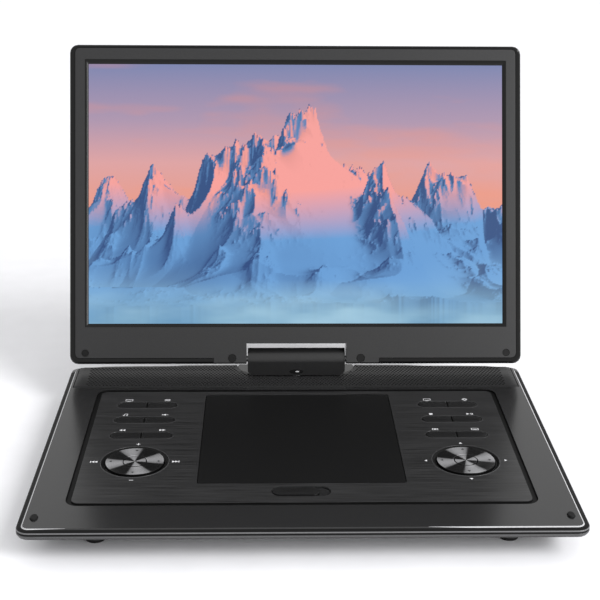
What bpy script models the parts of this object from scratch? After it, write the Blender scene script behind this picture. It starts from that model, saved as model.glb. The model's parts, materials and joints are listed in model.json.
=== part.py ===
"""Portable DVD player with a 14.1 inch screen on a swivel hinge, as an assembly of separate parts.

Run with: blender --background --python part.py

Lengths below are in millimetres and are turned into metres when a mesh is made. Parts of the base are
placed in the deck frame: x to the right, y to the rear from the hinge line, z up from the deck's top.
Parts of the lid are placed in the lid frame: x to the right, y out of the lid's back, z up the lid.
"""

from math import cos, pi, radians, sin

import bmesh
import bpy
from mathutils import Matrix, Vector

MM = 0.001
GAP = 0.3

# Base: outside size
BASE_HALF_WIDTH = 167.0
BASE_FRONT = -232.3
BASE_REAR = 13.0
REAR_BOW = 4.3
DECK_HEIGHT = 22.0
FOOT_HEIGHT = 3.0
FRONT_CORNER_RADIUS = 8.0
REAR_CORNER_RADIUS = 6.0
WALL = 2.2
PARTING_Z = -2.7
DECK_UNDERSIDE = -3.2
BASE_UNDERSIDE = FOOT_HEIGHT - DECK_HEIGHT

# Deck: the inlaid control panel and the speaker grille
POCKET_HALF_WIDTH = 142.7
POCKET_FRONT = -202.0
POCKET_REAR = -30.6
POCKET_RADIUS = 8.0
POCKET_DEPTH = 1.2
GROOVE_WIDTH = 3.5
PANEL_BOTTOM = GAP - POCKET_DEPTH
GRILLE_HALF_WIDTH = 161.5
GRILLE_FRONT = -25.9
GRILLE_REAR_INSET = 2.6
GRILLE_THICKNESS = 1.5
# Heights of the strip above the deck, by distance behind its front edge and in from its rear edge
GRILLE_RISE = ((0.3, -0.3), (1.2, 0.0), (12.0, 0.35), (22.0, 0.7), (29.0, 0.85))
GRILLE_ROLL = ((1.6, 1.3), (0.4, 1.0), (0.0, 0.3))
# How much of that height it has at its ends, and how far its rear is drawn in there, by distance from the end
GRILLE_ENDS = ((0.0, 0.0, 1.0), (1.5, 0.7, 0.3), (4.0, 1.0, 0.0))
SEAT_CENTRE_Y = 11.0
SEAT_HALF_WIDTH = 43.5
SEAT_HALF_DEPTH = 20.0
SEAT_REAR = 15.6
SEAT_TOP = 0.6
SPEAKER_X = 120.0
SPEAKER_Y = -10.0

# Disc bay
DISC_Y = -106.7
DISC_POCKET_RADIUS = 61.5
DOOR_HALF_WIDTH = 64.6
DOOR_FRONT = -173.7
DOOR_REAR = -40.2
DOOR_THICKNESS = 1.6
DOOR_AXIS_Y = -42.0
DOOR_AXIS_Z = -2.5
BAY_HALF_WIDTH = 67.0
BAY_FRONT = -176.2
BAY_REAR = -38.4
WELL_TOP = DECK_UNDERSIDE - GAP
WELL_FLOOR = -6.6
WELL_BOTTOM = -7.8
CHASSIS_TOP = -8.2
CHASSIS_BOTTOM = -9.2
ROD_X = 19.0
ROD_Z = -12.4
SCREW_X = 26.0
SLED_Y = -140.0
SLED_HALF_DEPTH = 8.0
SLED_FORWARD = 21.0
LENS_RADIUS = 5.0

# Controls
KEY_SLOT_X = 105.25
KEY_LENGTH = 20.4
KEY_WIDTH = 9.4
KEY_HEIGHT = 0.4
KEY_SLOT_LENGTH = 42.0
KEY_SLOT_WIDTH = 10.0
KEY_ROWS = (-56.9, -81.3, -105.7)
DIAL_X = 105.9
DIAL_Y = -144.1
DIAL_RECESS_RADIUS = 21.6
DIAL_RADIUS = 18.6
OK_RADIUS = 7.3
DIAL_PIVOT_Z = -4.7
LATCH_Y = -184.6
LATCH_SLOT_CENTRE_X = -0.7
LATCH_SLOT_LENGTH = 36.6
LATCH_SLOT_WIDTH = 12.8
LATCH_KNOB_CENTRE_X = -4.1
LATCH_KNOB_LENGTH = 28.7
BUMPER_X = 157.9
BUMPER_Y = -216.1
BOARD_TOP = -7.2

# Sockets on the right side
SOCKET_Z = -10.2
SOCKET_FACE_X = 161.0
DC_INLET_Y = -28.0
AV_BLOCK_Y = -56.0
SWITCH_Y = -86.0
JACK_RADIUS = 1.8
USB_HOLE_HEIGHT = 4.4

# Feet
FOOT_X = 124.5
FOOT_FRONT_Y = -202.0
FOOT_REAR_Y = -14.0
FOOT_RADIUS = 6.2

# Hinge: the tilt axis lies HINGE_HEIGHT above the deck, and the swivel axis crosses it
HINGE_HEIGHT = 11.6
LID_LEAN = radians(20.0)
BARREL_RADIUS = 8.1
BLOCK_HALF_WIDTH = 35.7
BLOCK_BOTTOM = 1.7
SHAFT_RADIUS = 6.0
PIN_RADIUS = 2.2

# Lid, measured from the tilt axis
LID_HALF_WIDTH = 165.5
LID_BOTTOM = -3.4
LID_TOP = 230.3
LID_FRONT = -9.8
LID_BACK = 8.0
LID_CORNER_RADIUS = 6.0
LID_BACK_FILLET = 4.0
LID_WALL = 2.0
BEZEL_FRONT = -10.0
BEZEL_THICKNESS = 1.5
BEZEL_SIDE_INSET = 4.0
BEZEL_TOP_INSET = 2.6
BEZEL_BOTTOM_INSET = 4.3
WINDOW_HALF_WIDTH = 154.5
WINDOW_BOTTOM = 23.6
WINDOW_TOP = 219.5
NOTCH_HALF_WIDTH = 36.6
NOTCH_TOP = 11.5
CHIN_TAB_HALF_WIDTH = 60.5
PLUGS = ((-154.3, 4.6, 2.4), (-47.1, 0.7, 2.8), (47.1, 0.7, 2.8), (154.3, 4.6, 2.4))

# The origin is at the middle of the object's footprint, on the surface it stands on
LID_REACH = (
    (LID_BACK - LID_BACK_FILLET) * cos(LID_LEAN)
    + (LID_TOP - LID_BACK_FILLET) * sin(LID_LEAN)
    + LID_BACK_FILLET
)
HINGE_Y = -(BASE_FRONT + LID_REACH) / 2

COLLECTIONS = {}
MATERIALS = {}


# ---------------------------------------------------------------- scene and materials


def clear_scene():
    for old in list(bpy.data.objects):
        bpy.data.objects.remove(old, do_unlink=True)


def make_collections():
    for key, name in (("parts", "portable_dvd_player"), ("cutters", "cutters")):
        made = bpy.data.collections.new(name)
        bpy.context.scene.collection.children.link(made)
        COLLECTIONS[key] = made


def material(name, colour, roughness, metallic=0.0):
    made = bpy.data.materials.new(name)
    made.use_nodes = True
    shader = made.node_tree.nodes["Principled BSDF"]
    shader.inputs["Base Color"].default_value = (*colour, 1.0)
    shader.inputs["Roughness"].default_value = roughness
    shader.inputs["Metallic"].default_value = metallic
    made.diffuse_color = (*colour, 1.0)
    return made


def make_materials():
    table = {
        "shell": ((0.035, 0.036, 0.038), 0.45, 0.0),
        "deck": ((0.055, 0.056, 0.060), 0.40, 0.0),
        "panel": ((0.050, 0.051, 0.055), 0.35, 0.6),
        "grille": ((0.020, 0.020, 0.022), 0.55, 0.3),
        "door": ((0.014, 0.014, 0.015), 0.50, 0.0),
        "key": ((0.012, 0.012, 0.013), 0.25, 0.0),
        "dial": ((0.42, 0.42, 0.43), 0.25, 1.0),
        "rubber": ((0.015, 0.015, 0.015), 0.80, 0.0),
        "bezel": ((0.060, 0.060, 0.062), 0.50, 0.0),
        "screen": ((0.12, 0.16, 0.26), 0.10, 0.0),
        "board": ((0.02, 0.12, 0.05), 0.50, 0.0),
        "steel": ((0.45, 0.45, 0.46), 0.30, 1.0),
        "cell": ((0.10, 0.14, 0.30), 0.50, 0.0),
        "loader": ((0.030, 0.030, 0.032), 0.55, 0.0),
        "nylon": ((0.75, 0.74, 0.70), 0.50, 0.0),
    }
    for name, (colour, roughness, metallic) in table.items():
        MATERIALS[name] = material(name, colour, roughness, metallic)


# ---------------------------------------------------------------- shapes, as bmeshes in millimetres


def box(low, high):
    shape = bmesh.new()
    bmesh.ops.create_cube(shape, size=1.0)
    middle = (Vector(low) + Vector(high)) / 2
    size = Vector(high) - Vector(low)
    for vert in shape.verts:
        vert.co = Vector(c * s for c, s in zip(vert.co, size)) + middle
    return shape


def edges_along(shape, axis):
    """The edges that run along one axis: 0, 1 or 2."""
    found = []
    for edge in shape.edges:
        run = edge.verts[1].co - edge.verts[0].co
        if abs(run[axis]) > 0.999 * run.length:
            found.append(edge)
    return found


def rounded_box(low, high, radius, axis=2, segments=4):
    """A box whose four edges along an axis are rounded."""
    shape = box(low, high)
    bmesh.ops.bevel(
        shape,
        geom=edges_along(shape, axis),
        offset=radius,
        segments=segments,
        profile=0.5,
        affect="EDGES",
    )
    return shape


def stadium(centre, length, width, bottom, top, segments=4):
    """A slot-shaped prism, long in x, with round ends."""
    x, y = centre
    low = (x - length / 2, y - width / 2, bottom)
    high = (x + length / 2, y + width / 2, top)
    return rounded_box(low, high, width / 2 - 0.02, segments=segments)


def cylinder(start, end, radius, sides=24, end_radius=None):
    """A cylinder, or a cone if its end has its own radius, from one point to another."""
    start, end = Vector(start), Vector(end)
    shape = bmesh.new()
    bmesh.ops.create_cone(
        shape,
        cap_ends=True,
        segments=sides,
        radius1=radius,
        radius2=radius if end_radius is None else end_radius,
        depth=(end - start).length,
    )
    turn = Vector((0, 0, 1)).rotation_difference(end - start).to_matrix().to_4x4()
    bmesh.ops.transform(shape, matrix=Matrix.Translation((start + end) / 2) @ turn, verts=shape.verts)
    return shape


def ellipse(centre, half_width, half_depth, bottom, top, sides=40):
    shape = cylinder((0, 0, bottom), (0, 0, top), 1.0, sides)
    for vert in shape.verts:
        vert.co.x = centre[0] + vert.co.x * half_width
        vert.co.y = centre[1] + vert.co.y * half_depth
    return shape


def loft(rings):
    """A closed solid through flat rings of the same number of points, from the lowest up."""
    shape = bmesh.new()
    rows = [[shape.verts.new(point) for point in ring] for ring in rings]
    count = len(rows[0])
    for below, above in zip(rows, rows[1:]):
        for i in range(count):
            j = (i + 1) % count
            shape.faces.new((below[i], below[j], above[j], above[i]))
    shape.faces.new(list(reversed(rows[0])))
    shape.faces.new(rows[-1])
    return shape


def soften(shape, test, offset, segments=2):
    """Rounds the sharp edges whose two ends pass a test."""
    sharp = []
    for edge in shape.edges:
        ends_pass = all(test(vert.co) for vert in edge.verts)
        if ends_pass and len(edge.link_faces) == 2 and edge.calc_face_angle() > radians(40):
            sharp.append(edge)
    bmesh.ops.bevel(shape, geom=sharp, offset=offset, segments=segments, profile=0.5, affect="EDGES")
    return shape


def together(*shapes):
    """Several separate shapes in one mesh, for a cutter."""
    whole = bmesh.new()
    for shape in shapes:
        piece = bpy.data.meshes.new("piece")
        shape.to_mesh(piece)
        shape.free()
        whole.from_mesh(piece)
        bpy.data.meshes.remove(piece)
    return whole


# ---------------------------------------------------------------- objects


def frame(name, parent, at, lean=0.0):
    """An empty that starts a frame of its own, such as the deck's or the lid's."""
    empty = bpy.data.objects.new(name, None)
    empty.empty_display_size = 10 * MM
    COLLECTIONS["cutters"].objects.link(empty)
    empty.parent = parent
    held_at = Vector(parent["at"]) if parent else Vector()
    empty.location = (Vector(at) - held_at) * MM
    empty.rotation_euler = (-lean, 0, 0)
    empty["at"] = (0.0, 0.0, 0.0)
    return empty


def pivot(name, parent, at):
    """An empty on a joint's axis; the pieces that it carries are still drawn in its parent's frame."""
    empty = frame(name, parent, at)
    empty["at"] = tuple(float(c) for c in at)
    return empty


def to_object(name, shape, collection, parent):
    """The shape becomes an object whose origin is its parent's, in metres."""
    bmesh.ops.translate(shape, verts=shape.verts, vec=-Vector(parent["at"]))
    bmesh.ops.scale(shape, verts=shape.verts, vec=(MM, MM, MM))
    bmesh.ops.recalc_face_normals(shape, faces=shape.faces)
    mesh = bpy.data.meshes.new(name)
    shape.to_mesh(mesh)
    shape.free()
    mesh.shade_smooth()
    mesh.set_sharp_from_angle(angle=radians(35))
    made = bpy.data.objects.new(name, mesh)
    COLLECTIONS[collection].objects.link(made)
    made.parent = parent
    return made


def part(name, shape, finish, parent):
    made = to_object(name, shape, "parts", parent)
    made.data.materials.append(MATERIALS[finish])
    return made


def combine(target, shape, operation):
    name = f"{target.name}.{operation.lower()}.{len(target.modifiers)}"
    helper = to_object(name, shape, "cutters", target.parent)
    helper.hide_render = True
    helper.display_type = "WIRE"
    modifier = target.modifiers.new(operation.lower(), "BOOLEAN")
    modifier.operation = operation
    modifier.solver = "EXACT"
    modifier.object = helper


def cut(target, *shapes):
    combine(target, together(*shapes), "DIFFERENCE")


def add(target, *shapes):
    for shape in shapes:
        combine(target, shape, "UNION")


# ---------------------------------------------------------------- base casing


def arc(centre, radius, start, end, steps):
    return [
        (
            centre[0] + radius * cos(start + (end - start) * i / steps),
            centre[1] + radius * sin(start + (end - start) * i / steps),
        )
        for i in range(steps + 1)
    ]


def rear_edge(x, half_width, rear):
    return rear + REAR_BOW * (1 - (x / half_width) ** 2)


def base_outline(z, side, front=None, rear=None):
    """The base seen from above, drawn in from its outermost line, anticlockwise from the front left."""
    front = side if front is None else front
    rear = side if rear is None else rear
    half = BASE_HALF_WIDTH - side
    low, high = BASE_FRONT + front, BASE_REAR - rear
    round_front = max(FRONT_CORNER_RADIUS - side, 1.5)
    round_rear = max(REAR_CORNER_RADIUS - side, 1.5)
    points = arc((-half + round_front, low + round_front), round_front, pi, 1.5 * pi, 5)
    points += arc((half - round_front, low + round_front), round_front, 1.5 * pi, 2 * pi, 5)
    points += arc((half - round_rear, high - round_rear), round_rear, 0, 0.5 * pi, 4)
    bow_half = half - round_rear
    steps = 10
    for i in range(1, steps):
        x = bow_half * (1 - 2 * i / steps)
        points.append((x, rear_edge(x, bow_half, high)))
    points += arc((-half + round_rear, high - round_rear), round_rear, 0.5 * pi, pi, 4)
    return [(x, y, z) for x, y in points]


def bottom_shell(base):
    outer = [
        base_outline(BASE_UNDERSIDE, 11, 42, 11),
        base_outline(-17.4, 8.5, 37, 8.5),
        base_outline(-7.4, 2.6, 5.5, 2.6),
        base_outline(-5.7, 0.9),
        base_outline(-4.3, 0.0),
        base_outline(PARTING_Z - GAP, 0.0),
    ]
    shell = part("base_bottom_shell", loft(outer), "shell", base)
    inner = [
        base_outline(BASE_UNDERSIDE + 2.0, 12.5, 46, 12.5),
        base_outline(-8.6, 5.2, 13.0, 5.2),
        base_outline(-5.0, WALL + 0.5, WALL + 1.2, WALL + 0.5),
        base_outline(-4.0, WALL),
        base_outline(PARTING_Z + 2.0, WALL),
    ]
    cut(shell, loft(inner))
    for y, top in ((FOOT_FRONT_Y, -14.0), (FOOT_REAR_Y, -18.0)):
        for x in (-FOOT_X, FOOT_X):
            add(shell, cylinder((x, y, BASE_UNDERSIDE), (x, y, top), FOOT_RADIUS + 1.6, 20))
    pockets = [
        cylinder((x, y, BASE_UNDERSIDE - 1), (x, y, BASE_UNDERSIDE + 0.8), FOOT_RADIUS + GAP, 20)
        for x in (-FOOT_X, FOOT_X)
        for y in (FOOT_FRONT_Y, FOOT_REAR_Y)
    ]
    cut(shell, *pockets)
    wall_x = BASE_HALF_WIDTH + 1
    cut(
        shell,
        cylinder((140, DC_INLET_Y, SOCKET_Z), (wall_x, DC_INLET_Y, SOCKET_Z), 3.8, 20),
        box((140, AV_BLOCK_Y - 12.8, SOCKET_Z - 3.1), (wall_x, AV_BLOCK_Y + 12.8, SOCKET_Z + 3.1)),
        box((140, SWITCH_Y - 5.2, SOCKET_Z - 1.6), (wall_x, SWITCH_Y + 5.2, SOCKET_Z + 1.6)),
    )


def top_deck(base):
    outer = [
        base_outline(DECK_UNDERSIDE, WALL + GAP),
        base_outline(PARTING_Z, WALL + GAP),
        base_outline(PARTING_Z, 0.15),
        base_outline(-1.8, 0.0),
        base_outline(-1.2, 0.3),
        base_outline(-0.9, 1.2),
        base_outline(-0.5, 3.0),
        base_outline(0.0, 3.7),
    ]
    deck = part("base_top_deck", loft(outer), "deck", base)
    pocket = rounded_box(
        (-POCKET_HALF_WIDTH, POCKET_FRONT, -POCKET_DEPTH),
        (POCKET_HALF_WIDTH, POCKET_REAR, 2),
        POCKET_RADIUS,
        segments=5,
    )
    cut(deck, pocket)
    cut(deck, grille_shape(-GRILLE_THICKNESS - GAP, 3, -GAP))
    add(deck, hinge_seat(-2.4, SEAT_TOP, 0.0))
    through = (DECK_UNDERSIDE - 1, SEAT_TOP + 1)
    holes = [
        rounded_box(
            (-BAY_HALF_WIDTH, BAY_FRONT, through[0]), (BAY_HALF_WIDTH, BAY_REAR, through[1]), 1, segments=1
        ),
        cylinder((0, 0, through[0]), (0, 0, through[1]), SHAFT_RADIUS + GAP, 24),
    ]
    for side in (-1, 1):
        for y in KEY_ROWS:
            centre = (side * KEY_SLOT_X, y)
            holes.append(stadium(centre, KEY_SLOT_LENGTH, KEY_SLOT_WIDTH, *through))
        centre = (side * DIAL_X, DIAL_Y)
        holes.append(cylinder((*centre, through[0]), (*centre, through[1]), DIAL_RADIUS + 0.6, 36))
        centre = (side * SPEAKER_X, SPEAKER_Y)
        holes.append(stadium(centre, 42, 22, *through))
        x, y = side * BUMPER_X, BUMPER_Y
        holes.append(ellipse((x, y), 2.5, 3.6, -0.8, 1, 16))
    cut(deck, *holes)
    stem_front = LATCH_Y - 3.0
    cut(deck, box((-12.4, stem_front, through[0]), (10.4, LATCH_Y + 2.8, through[1])))
    cut(deck, box((-6.5, LATCH_Y + 2.0, through[0]), (6.5, BAY_FRONT + 1, through[1])))


def hinge_seat(bottom, top, margin):
    """The plain oval seat of the hinge, cut off square at the rear."""
    centre = (0, SEAT_CENTRE_Y)
    shape = ellipse(centre, SEAT_HALF_WIDTH + margin, SEAT_HALF_DEPTH + margin, bottom, top, 32)
    everything = shape.verts[:] + shape.edges[:] + shape.faces[:]
    bmesh.ops.bisect_plane(
        shape, geom=everything, plane_co=(0, SEAT_REAR + margin, 0), plane_no=(0, 1, 0), clear_outer=True
    )
    open_edges = [edge for edge in shape.edges if edge.is_boundary]
    bmesh.ops.holes_fill(shape, edges=open_edges)
    return shape


def grille_outline(x, margin):
    half = BASE_HALF_WIDTH - REAR_CORNER_RADIUS
    return rear_edge(x, half, BASE_REAR - GRILLE_REAR_INSET) - margin


def grille_shape(bottom, top, margin):
    """The grille's strip: straight in front, bowed behind; margin draws it in on every side."""
    steps = 12
    half = GRILLE_HALF_WIDTH - margin
    front = GRILLE_FRONT + margin
    points = [(-half, front), (half, front)]
    for i in range(steps + 1):
        x = half * (1 - 2 * i / steps)
        points.append((x, grille_outline(x, margin)))
    return loft([[(x, y, z) for x, y in points] for z in (bottom, top)])


def speaker_grille(base):
    """A perforated strip, drawn here without its fine holes, that rises to a rounded rear edge."""
    half = GRILLE_HALF_WIDTH - GAP
    inner = half - GRILLE_ENDS[-1][0]
    steps = 10
    stations = [(away - half, share, inset) for away, share, inset in GRILLE_ENDS]
    stations += [(inner * (2 * i / steps - 1), 1.0, 0.0) for i in range(1, steps)]
    stations += [(half - away, share, inset) for away, share, inset in reversed(GRILLE_ENDS)]
    rings = []
    for x, share, inset in stations:
        rear = grille_outline(x, GAP + inset)
        line = [(GRILLE_FRONT + away, z) for away, z in GRILLE_RISE]
        line += [(rear - away, z) for away, z in GRILLE_ROLL]
        line = [(y, z * share if z > 0 else z) for y, z in line]
        line += [(rear, -GRILLE_THICKNESS), (GRILLE_FRONT + GAP, -GRILLE_THICKNESS)]
        rings.append([(x, y, z) for y, z in line])
    grille = part("speaker_grille", loft(rings), "grille", base)
    cut(grille, hinge_seat(-5, 5, GAP))


def control_panel(base):
    half = POCKET_HALF_WIDTH - GROOVE_WIDTH
    low = (-half, POCKET_FRONT + GROOVE_WIDTH, PANEL_BOTTOM)
    high = (half, POCKET_REAR - GROOVE_WIDTH, 0.0)
    panel = part(
        "control_panel", rounded_box(low, high, POCKET_RADIUS - GROOVE_WIDTH, segments=4), "panel", base
    )
    holes = [
        rounded_box(
            (-DOOR_HALF_WIDTH - 0.5, DOOR_FRONT - 0.5, -3), (DOOR_HALF_WIDTH + 0.5, DOOR_REAR + 1.2, 3), 2
        ),
        stadium((LATCH_SLOT_CENTRE_X, LATCH_Y), LATCH_SLOT_LENGTH, LATCH_SLOT_WIDTH, -3, 3),
    ]
    for side in (-1, 1):
        for y in KEY_ROWS:
            holes.append(stadium((side * KEY_SLOT_X, y), KEY_SLOT_LENGTH, KEY_SLOT_WIDTH, -3, 3))
        centre = (side * DIAL_X, DIAL_Y)
        holes.append(cylinder((*centre, -3), (*centre, 3), DIAL_RECESS_RADIUS, 36))
    cut(panel, *holes)


def feet_and_bumpers(base):
    for end, y in (("front", FOOT_FRONT_Y), ("rear", FOOT_REAR_Y)):
        for side, x in (("left", -FOOT_X), ("right", FOOT_X)):
            foot = cylinder((x, y, -DECK_HEIGHT), (x, y, BASE_UNDERSIDE + 0.5), FOOT_RADIUS, 20)
            soften(foot, lambda co: co.z < -DECK_HEIGHT + 0.1, 0.8)
            part(f"foot_{end}_{side}", foot, "rubber", base)
    for side, x in (("left", -BUMPER_X), ("right", BUMPER_X)):
        bumper = ellipse((x, BUMPER_Y), 2.2, 3.3, -0.5, 1.1, 16)
        soften(bumper, lambda co: co.z > 1, 0.5)
        part(f"lid_bumper_{side}", bumper, "rubber", base)


# ---------------------------------------------------------------- sockets on the right side


def side_sockets(base):
    face = SOCKET_FACE_X
    inlet = part(
        "dc_inlet",
        cylinder((face - 13, DC_INLET_Y, SOCKET_Z), (face + 1.6, DC_INLET_Y, SOCKET_Z), 3.5, 20),
        "loader",
        base,
    )
    cut(inlet, cylinder((face - 8, DC_INLET_Y, SOCKET_Z), (face + 3, DC_INLET_Y, SOCKET_Z), 2.75, 20))
    add(inlet, cylinder((face - 9, DC_INLET_Y, SOCKET_Z), (face + 0.4, DC_INLET_Y, SOCKET_Z), 0.65, 10))
    sockets = part(
        "av_socket_block",
        box((face - 12, AV_BLOCK_Y - 12.4, SOCKET_Z - 2.8), (face + 0.8, AV_BLOCK_Y + 12.4, SOCKET_Z + 2.8)),
        "loader",
        base,
    )
    usb_half = USB_HOLE_HEIGHT / 2
    usb_low = (face - 10, AV_BLOCK_Y - 11, SOCKET_Z - usb_half)
    cut(sockets, box(usb_low, (face + 3, AV_BLOCK_Y - 3, SOCKET_Z + usb_half)))
    for y in (AV_BLOCK_Y + 8, AV_BLOCK_Y + 1.5):
        cut(sockets, cylinder((face - 10, y, SOCKET_Z), (face + 3, y, SOCKET_Z), JACK_RADIUS, 16))
    part(
        "power_switch",
        box((face - 3, SWITCH_Y - 4.9, SOCKET_Z - 1.3), (face + 1.8, SWITCH_Y + 0.9, SOCKET_Z + 1.3)),
        "key",
        pivot("power_switch_slide", base, (face, SWITCH_Y - 2, SOCKET_Z)),
    )


# ---------------------------------------------------------------- disc bay and loader


def disc_bay(base):
    well = part(
        "disc_well",
        rounded_box((-70, BAY_FRONT - 2, WELL_BOTTOM), (70, BAY_REAR + 2.5, WELL_TOP), 3),
        "loader",
        base,
    )
    cut(well, cylinder((0, DISC_Y, WELL_FLOOR), (0, DISC_Y, 0), DISC_POCKET_RADIUS, 48))
    cut(well, cylinder((0, DISC_Y, -12), (0, DISC_Y, 0), 15.0, 32))
    slot_front = SLED_Y - SLED_FORWARD - LENS_RADIUS - 1.5
    cut(well, rounded_box((-10, slot_front, -12), (10, DISC_Y - 14, 0), 3))
    for side in (-1, 1):
        lug = rounded_box(
            (side * 65.9 - 0.9, DOOR_AXIS_Y - 2.4, WELL_TOP - 1),
            (side * 65.9 + 0.9, DOOR_AXIS_Y + 2.4, -1.3),
            0.6,
            axis=0,
            segments=2,
        )
        add(well, lug)
    cut(
        well,
        cylinder((-67.5, DOOR_AXIS_Y, DOOR_AXIS_Z), (-61.4, DOOR_AXIS_Y, DOOR_AXIS_Z), 0.8, 12),
        cylinder((61.4, DOOR_AXIS_Y, DOOR_AXIS_Z), (67.5, DOOR_AXIS_Y, DOOR_AXIS_Z), 0.8, 12),
        box((-64.7, DOOR_AXIS_Y - 4, -5.0), (64.7, DOOR_AXIS_Y + 3.2, 0)),
    )


def disc_door(base):
    hinge = pivot("disc_door_axis", base, (0, DOOR_AXIS_Y, DOOR_AXIS_Z))
    plate = rounded_box(
        (-DOOR_HALF_WIDTH, DOOR_FRONT, -DOOR_THICKNESS), (DOOR_HALF_WIDTH, DOOR_REAR, -0.05), 1.6, segments=3
    )
    soften(plate, lambda co: co.y > DOOR_REAR - 0.05 and co.z > -0.1, 0.8)
    door = part("disc_door", plate, "door", hinge)
    for side in (-1, 1):
        for start, end, radius in ((56, 64.4, 1.25), (60, 66.5, 0.5)):
            low = (side * start, DOOR_AXIS_Y, DOOR_AXIS_Z)
            knuckle = cylinder(low, (side * end, DOOR_AXIS_Y, DOOR_AXIS_Z), radius, 12)
            add(door, knuckle)
    add(door, box((-5.9, DOOR_FRONT + 0.3, -3.2), (-0.3, DOOR_FRONT + 1.6, -1.0)))


def loader(base):
    front = SLED_Y - SLED_FORWARD - SLED_HALF_DEPTH
    rear = DISC_Y + 18
    chassis = part(
        "loader_chassis",
        rounded_box((-34, front - 4, CHASSIS_BOTTOM), (34, rear, CHASSIS_TOP), 4),
        "steel",
        base,
    )
    for side in (-1, 1):
        x = side * ROD_X
        for y in (front - 2, DISC_Y - 12):
            add(chassis, box((x - 2.6, y - 1.5, ROD_Z - 2.6), (x + 2.6, y + 1.5, CHASSIS_BOTTOM + 0.4)))
    screw_block_low = (SCREW_X - 2.4, DISC_Y - 13.5, ROD_Z - 2.6)
    add(chassis, box(screw_block_low, (SCREW_X + 2.4, DISC_Y - 10.5, CHASSIS_BOTTOM + 0.4)))
    cut(
        chassis,
        rounded_box((-15, front, -20), (15, DISC_Y - 10, -5), 2),
        cylinder((0, DISC_Y, -20), (0, DISC_Y, -5), 6.0, 24),
    )
    rods = [
        cylinder((side * ROD_X, front - 6, ROD_Z), (side * ROD_X, DISC_Y - 8, ROD_Z), 1.5, 16)
        for side in (-1, 1)
    ]
    rods.append(cylinder((SCREW_X, front - 6, ROD_Z), (SCREW_X, DISC_Y - 8, ROD_Z), 1.5, 16))
    cut(chassis, *rods)
    for name, side in (("guide_rod_left", -1), ("guide_rod_right", 1)):
        x = side * ROD_X
        rod = cylinder((x, front - 3.2, ROD_Z), (x, DISC_Y - 10.8, ROD_Z), 1.2, 16)
        part(name, rod, "steel", base)
    motor = cylinder((0, DISC_Y, -16.6), (0, DISC_Y, CHASSIS_BOTTOM - GAP), 11, 32)
    motor = part("spindle_motor", motor, "steel", base)
    cut(motor, cylinder((0, DISC_Y, -13), (0, DISC_Y, -5), 1.6, 16))
    spindle(base)
    sled(base, front)


def spindle(base):
    axis = pivot("spindle_axis", base, (0, DISC_Y, WELL_FLOOR))
    hub = part("spindle_hub", cylinder((0, DISC_Y, -6.0), (0, DISC_Y, -4.4), 13.6, 24), "nylon", axis)
    add(
        hub,
        cylinder((0, DISC_Y, -4.8), (0, DISC_Y, -2.3), 7.3, 24, 5.6),
        cylinder((0, DISC_Y, -12.4), (0, DISC_Y, -5.5), 1.2, 16),
    )


def sled(base, front):
    slide = pivot("sled_slide", base, (0, SLED_Y, ROD_Z))
    low = (-ROD_X - 3, SLED_Y - SLED_HALF_DEPTH, ROD_Z - 2.8)
    body = box(low, (ROD_X + 3, SLED_Y + SLED_HALF_DEPTH, ROD_Z + 2.8))
    carriage = part("pickup_sled", body, "loader", slide)
    add(
        carriage,
        cylinder((0, SLED_Y, -10), (0, SLED_Y, -7.1), LENS_RADIUS, 24),
        box((ROD_X, SLED_Y - 3, ROD_Z - 2.6), (SCREW_X + 3, SLED_Y + 3, ROD_Z + 2.6)),
    )
    cut(
        carriage,
        *[
            cylinder((x, SLED_Y - 12, ROD_Z), (x, SLED_Y + 12, ROD_Z), 1.5 if abs(x) < 20 else 1.8, 16)
            for x in (-ROD_X, ROD_X, SCREW_X)
        ],
        cylinder((0, SLED_Y, -8), (0, SLED_Y, -6), 3.4, 20),
    )
    axis = pivot("lead_screw_axis", base, (SCREW_X, front, ROD_Z))
    part(
        "lead_screw",
        cylinder((SCREW_X, front - 3.0, ROD_Z), (SCREW_X, DISC_Y - 10.8, ROD_Z), 1.2, 16),
        "steel",
        axis,
    )
    motor = cylinder((SCREW_X, front - 20, ROD_Z), (SCREW_X, front - 4.4, ROD_Z), 3.0, 20)
    part("sled_motor", motor, "steel", base)


# ---------------------------------------------------------------- boards, battery, speakers


def electronics(base):
    board = part("main_board", box((-146, -168, -14.6), (-74, -34, -13.0)), "board", base)
    add(
        board,
        box((-128, -120, -13.4), (-106, -98, -11.0)),
        box((-98, -86, -13.4), (-84, -70, -11.6)),
        box((-142, -60, -13.4), (-130, -40, -10.2)),
    )
    part("battery_pack", rounded_box((72, -168, -16.6), (146, -40, -9.4), 2), "cell", base)
    for name, side in (("left", -1), ("right", 1)):
        low, high = sorted((side * 72.5, side * 138.0))
        switches = box((low, DIAL_Y - 24, BOARD_TOP - 1.2), (high, -46, BOARD_TOP))
        part(f"button_board_{name}", switches, "board", base)
        centre = (side * SPEAKER_X, SPEAKER_Y)
        basket = part(f"speaker_{name}", stadium(centre, 46, 26, -5.4, WELL_TOP), "loader", base)
        add(
            basket,
            cylinder((*centre, -9.5), (*centre, -5.0), 8.0, 20, 11.0),
            cylinder((*centre, -13.5), (*centre, -9.0), 9.5, 20),
        )
        cut(basket, cylinder((*centre, -6.6), (*centre, -2.0), 3.0, 20, 11.0))


# ---------------------------------------------------------------- keys, dials and latch


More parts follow.
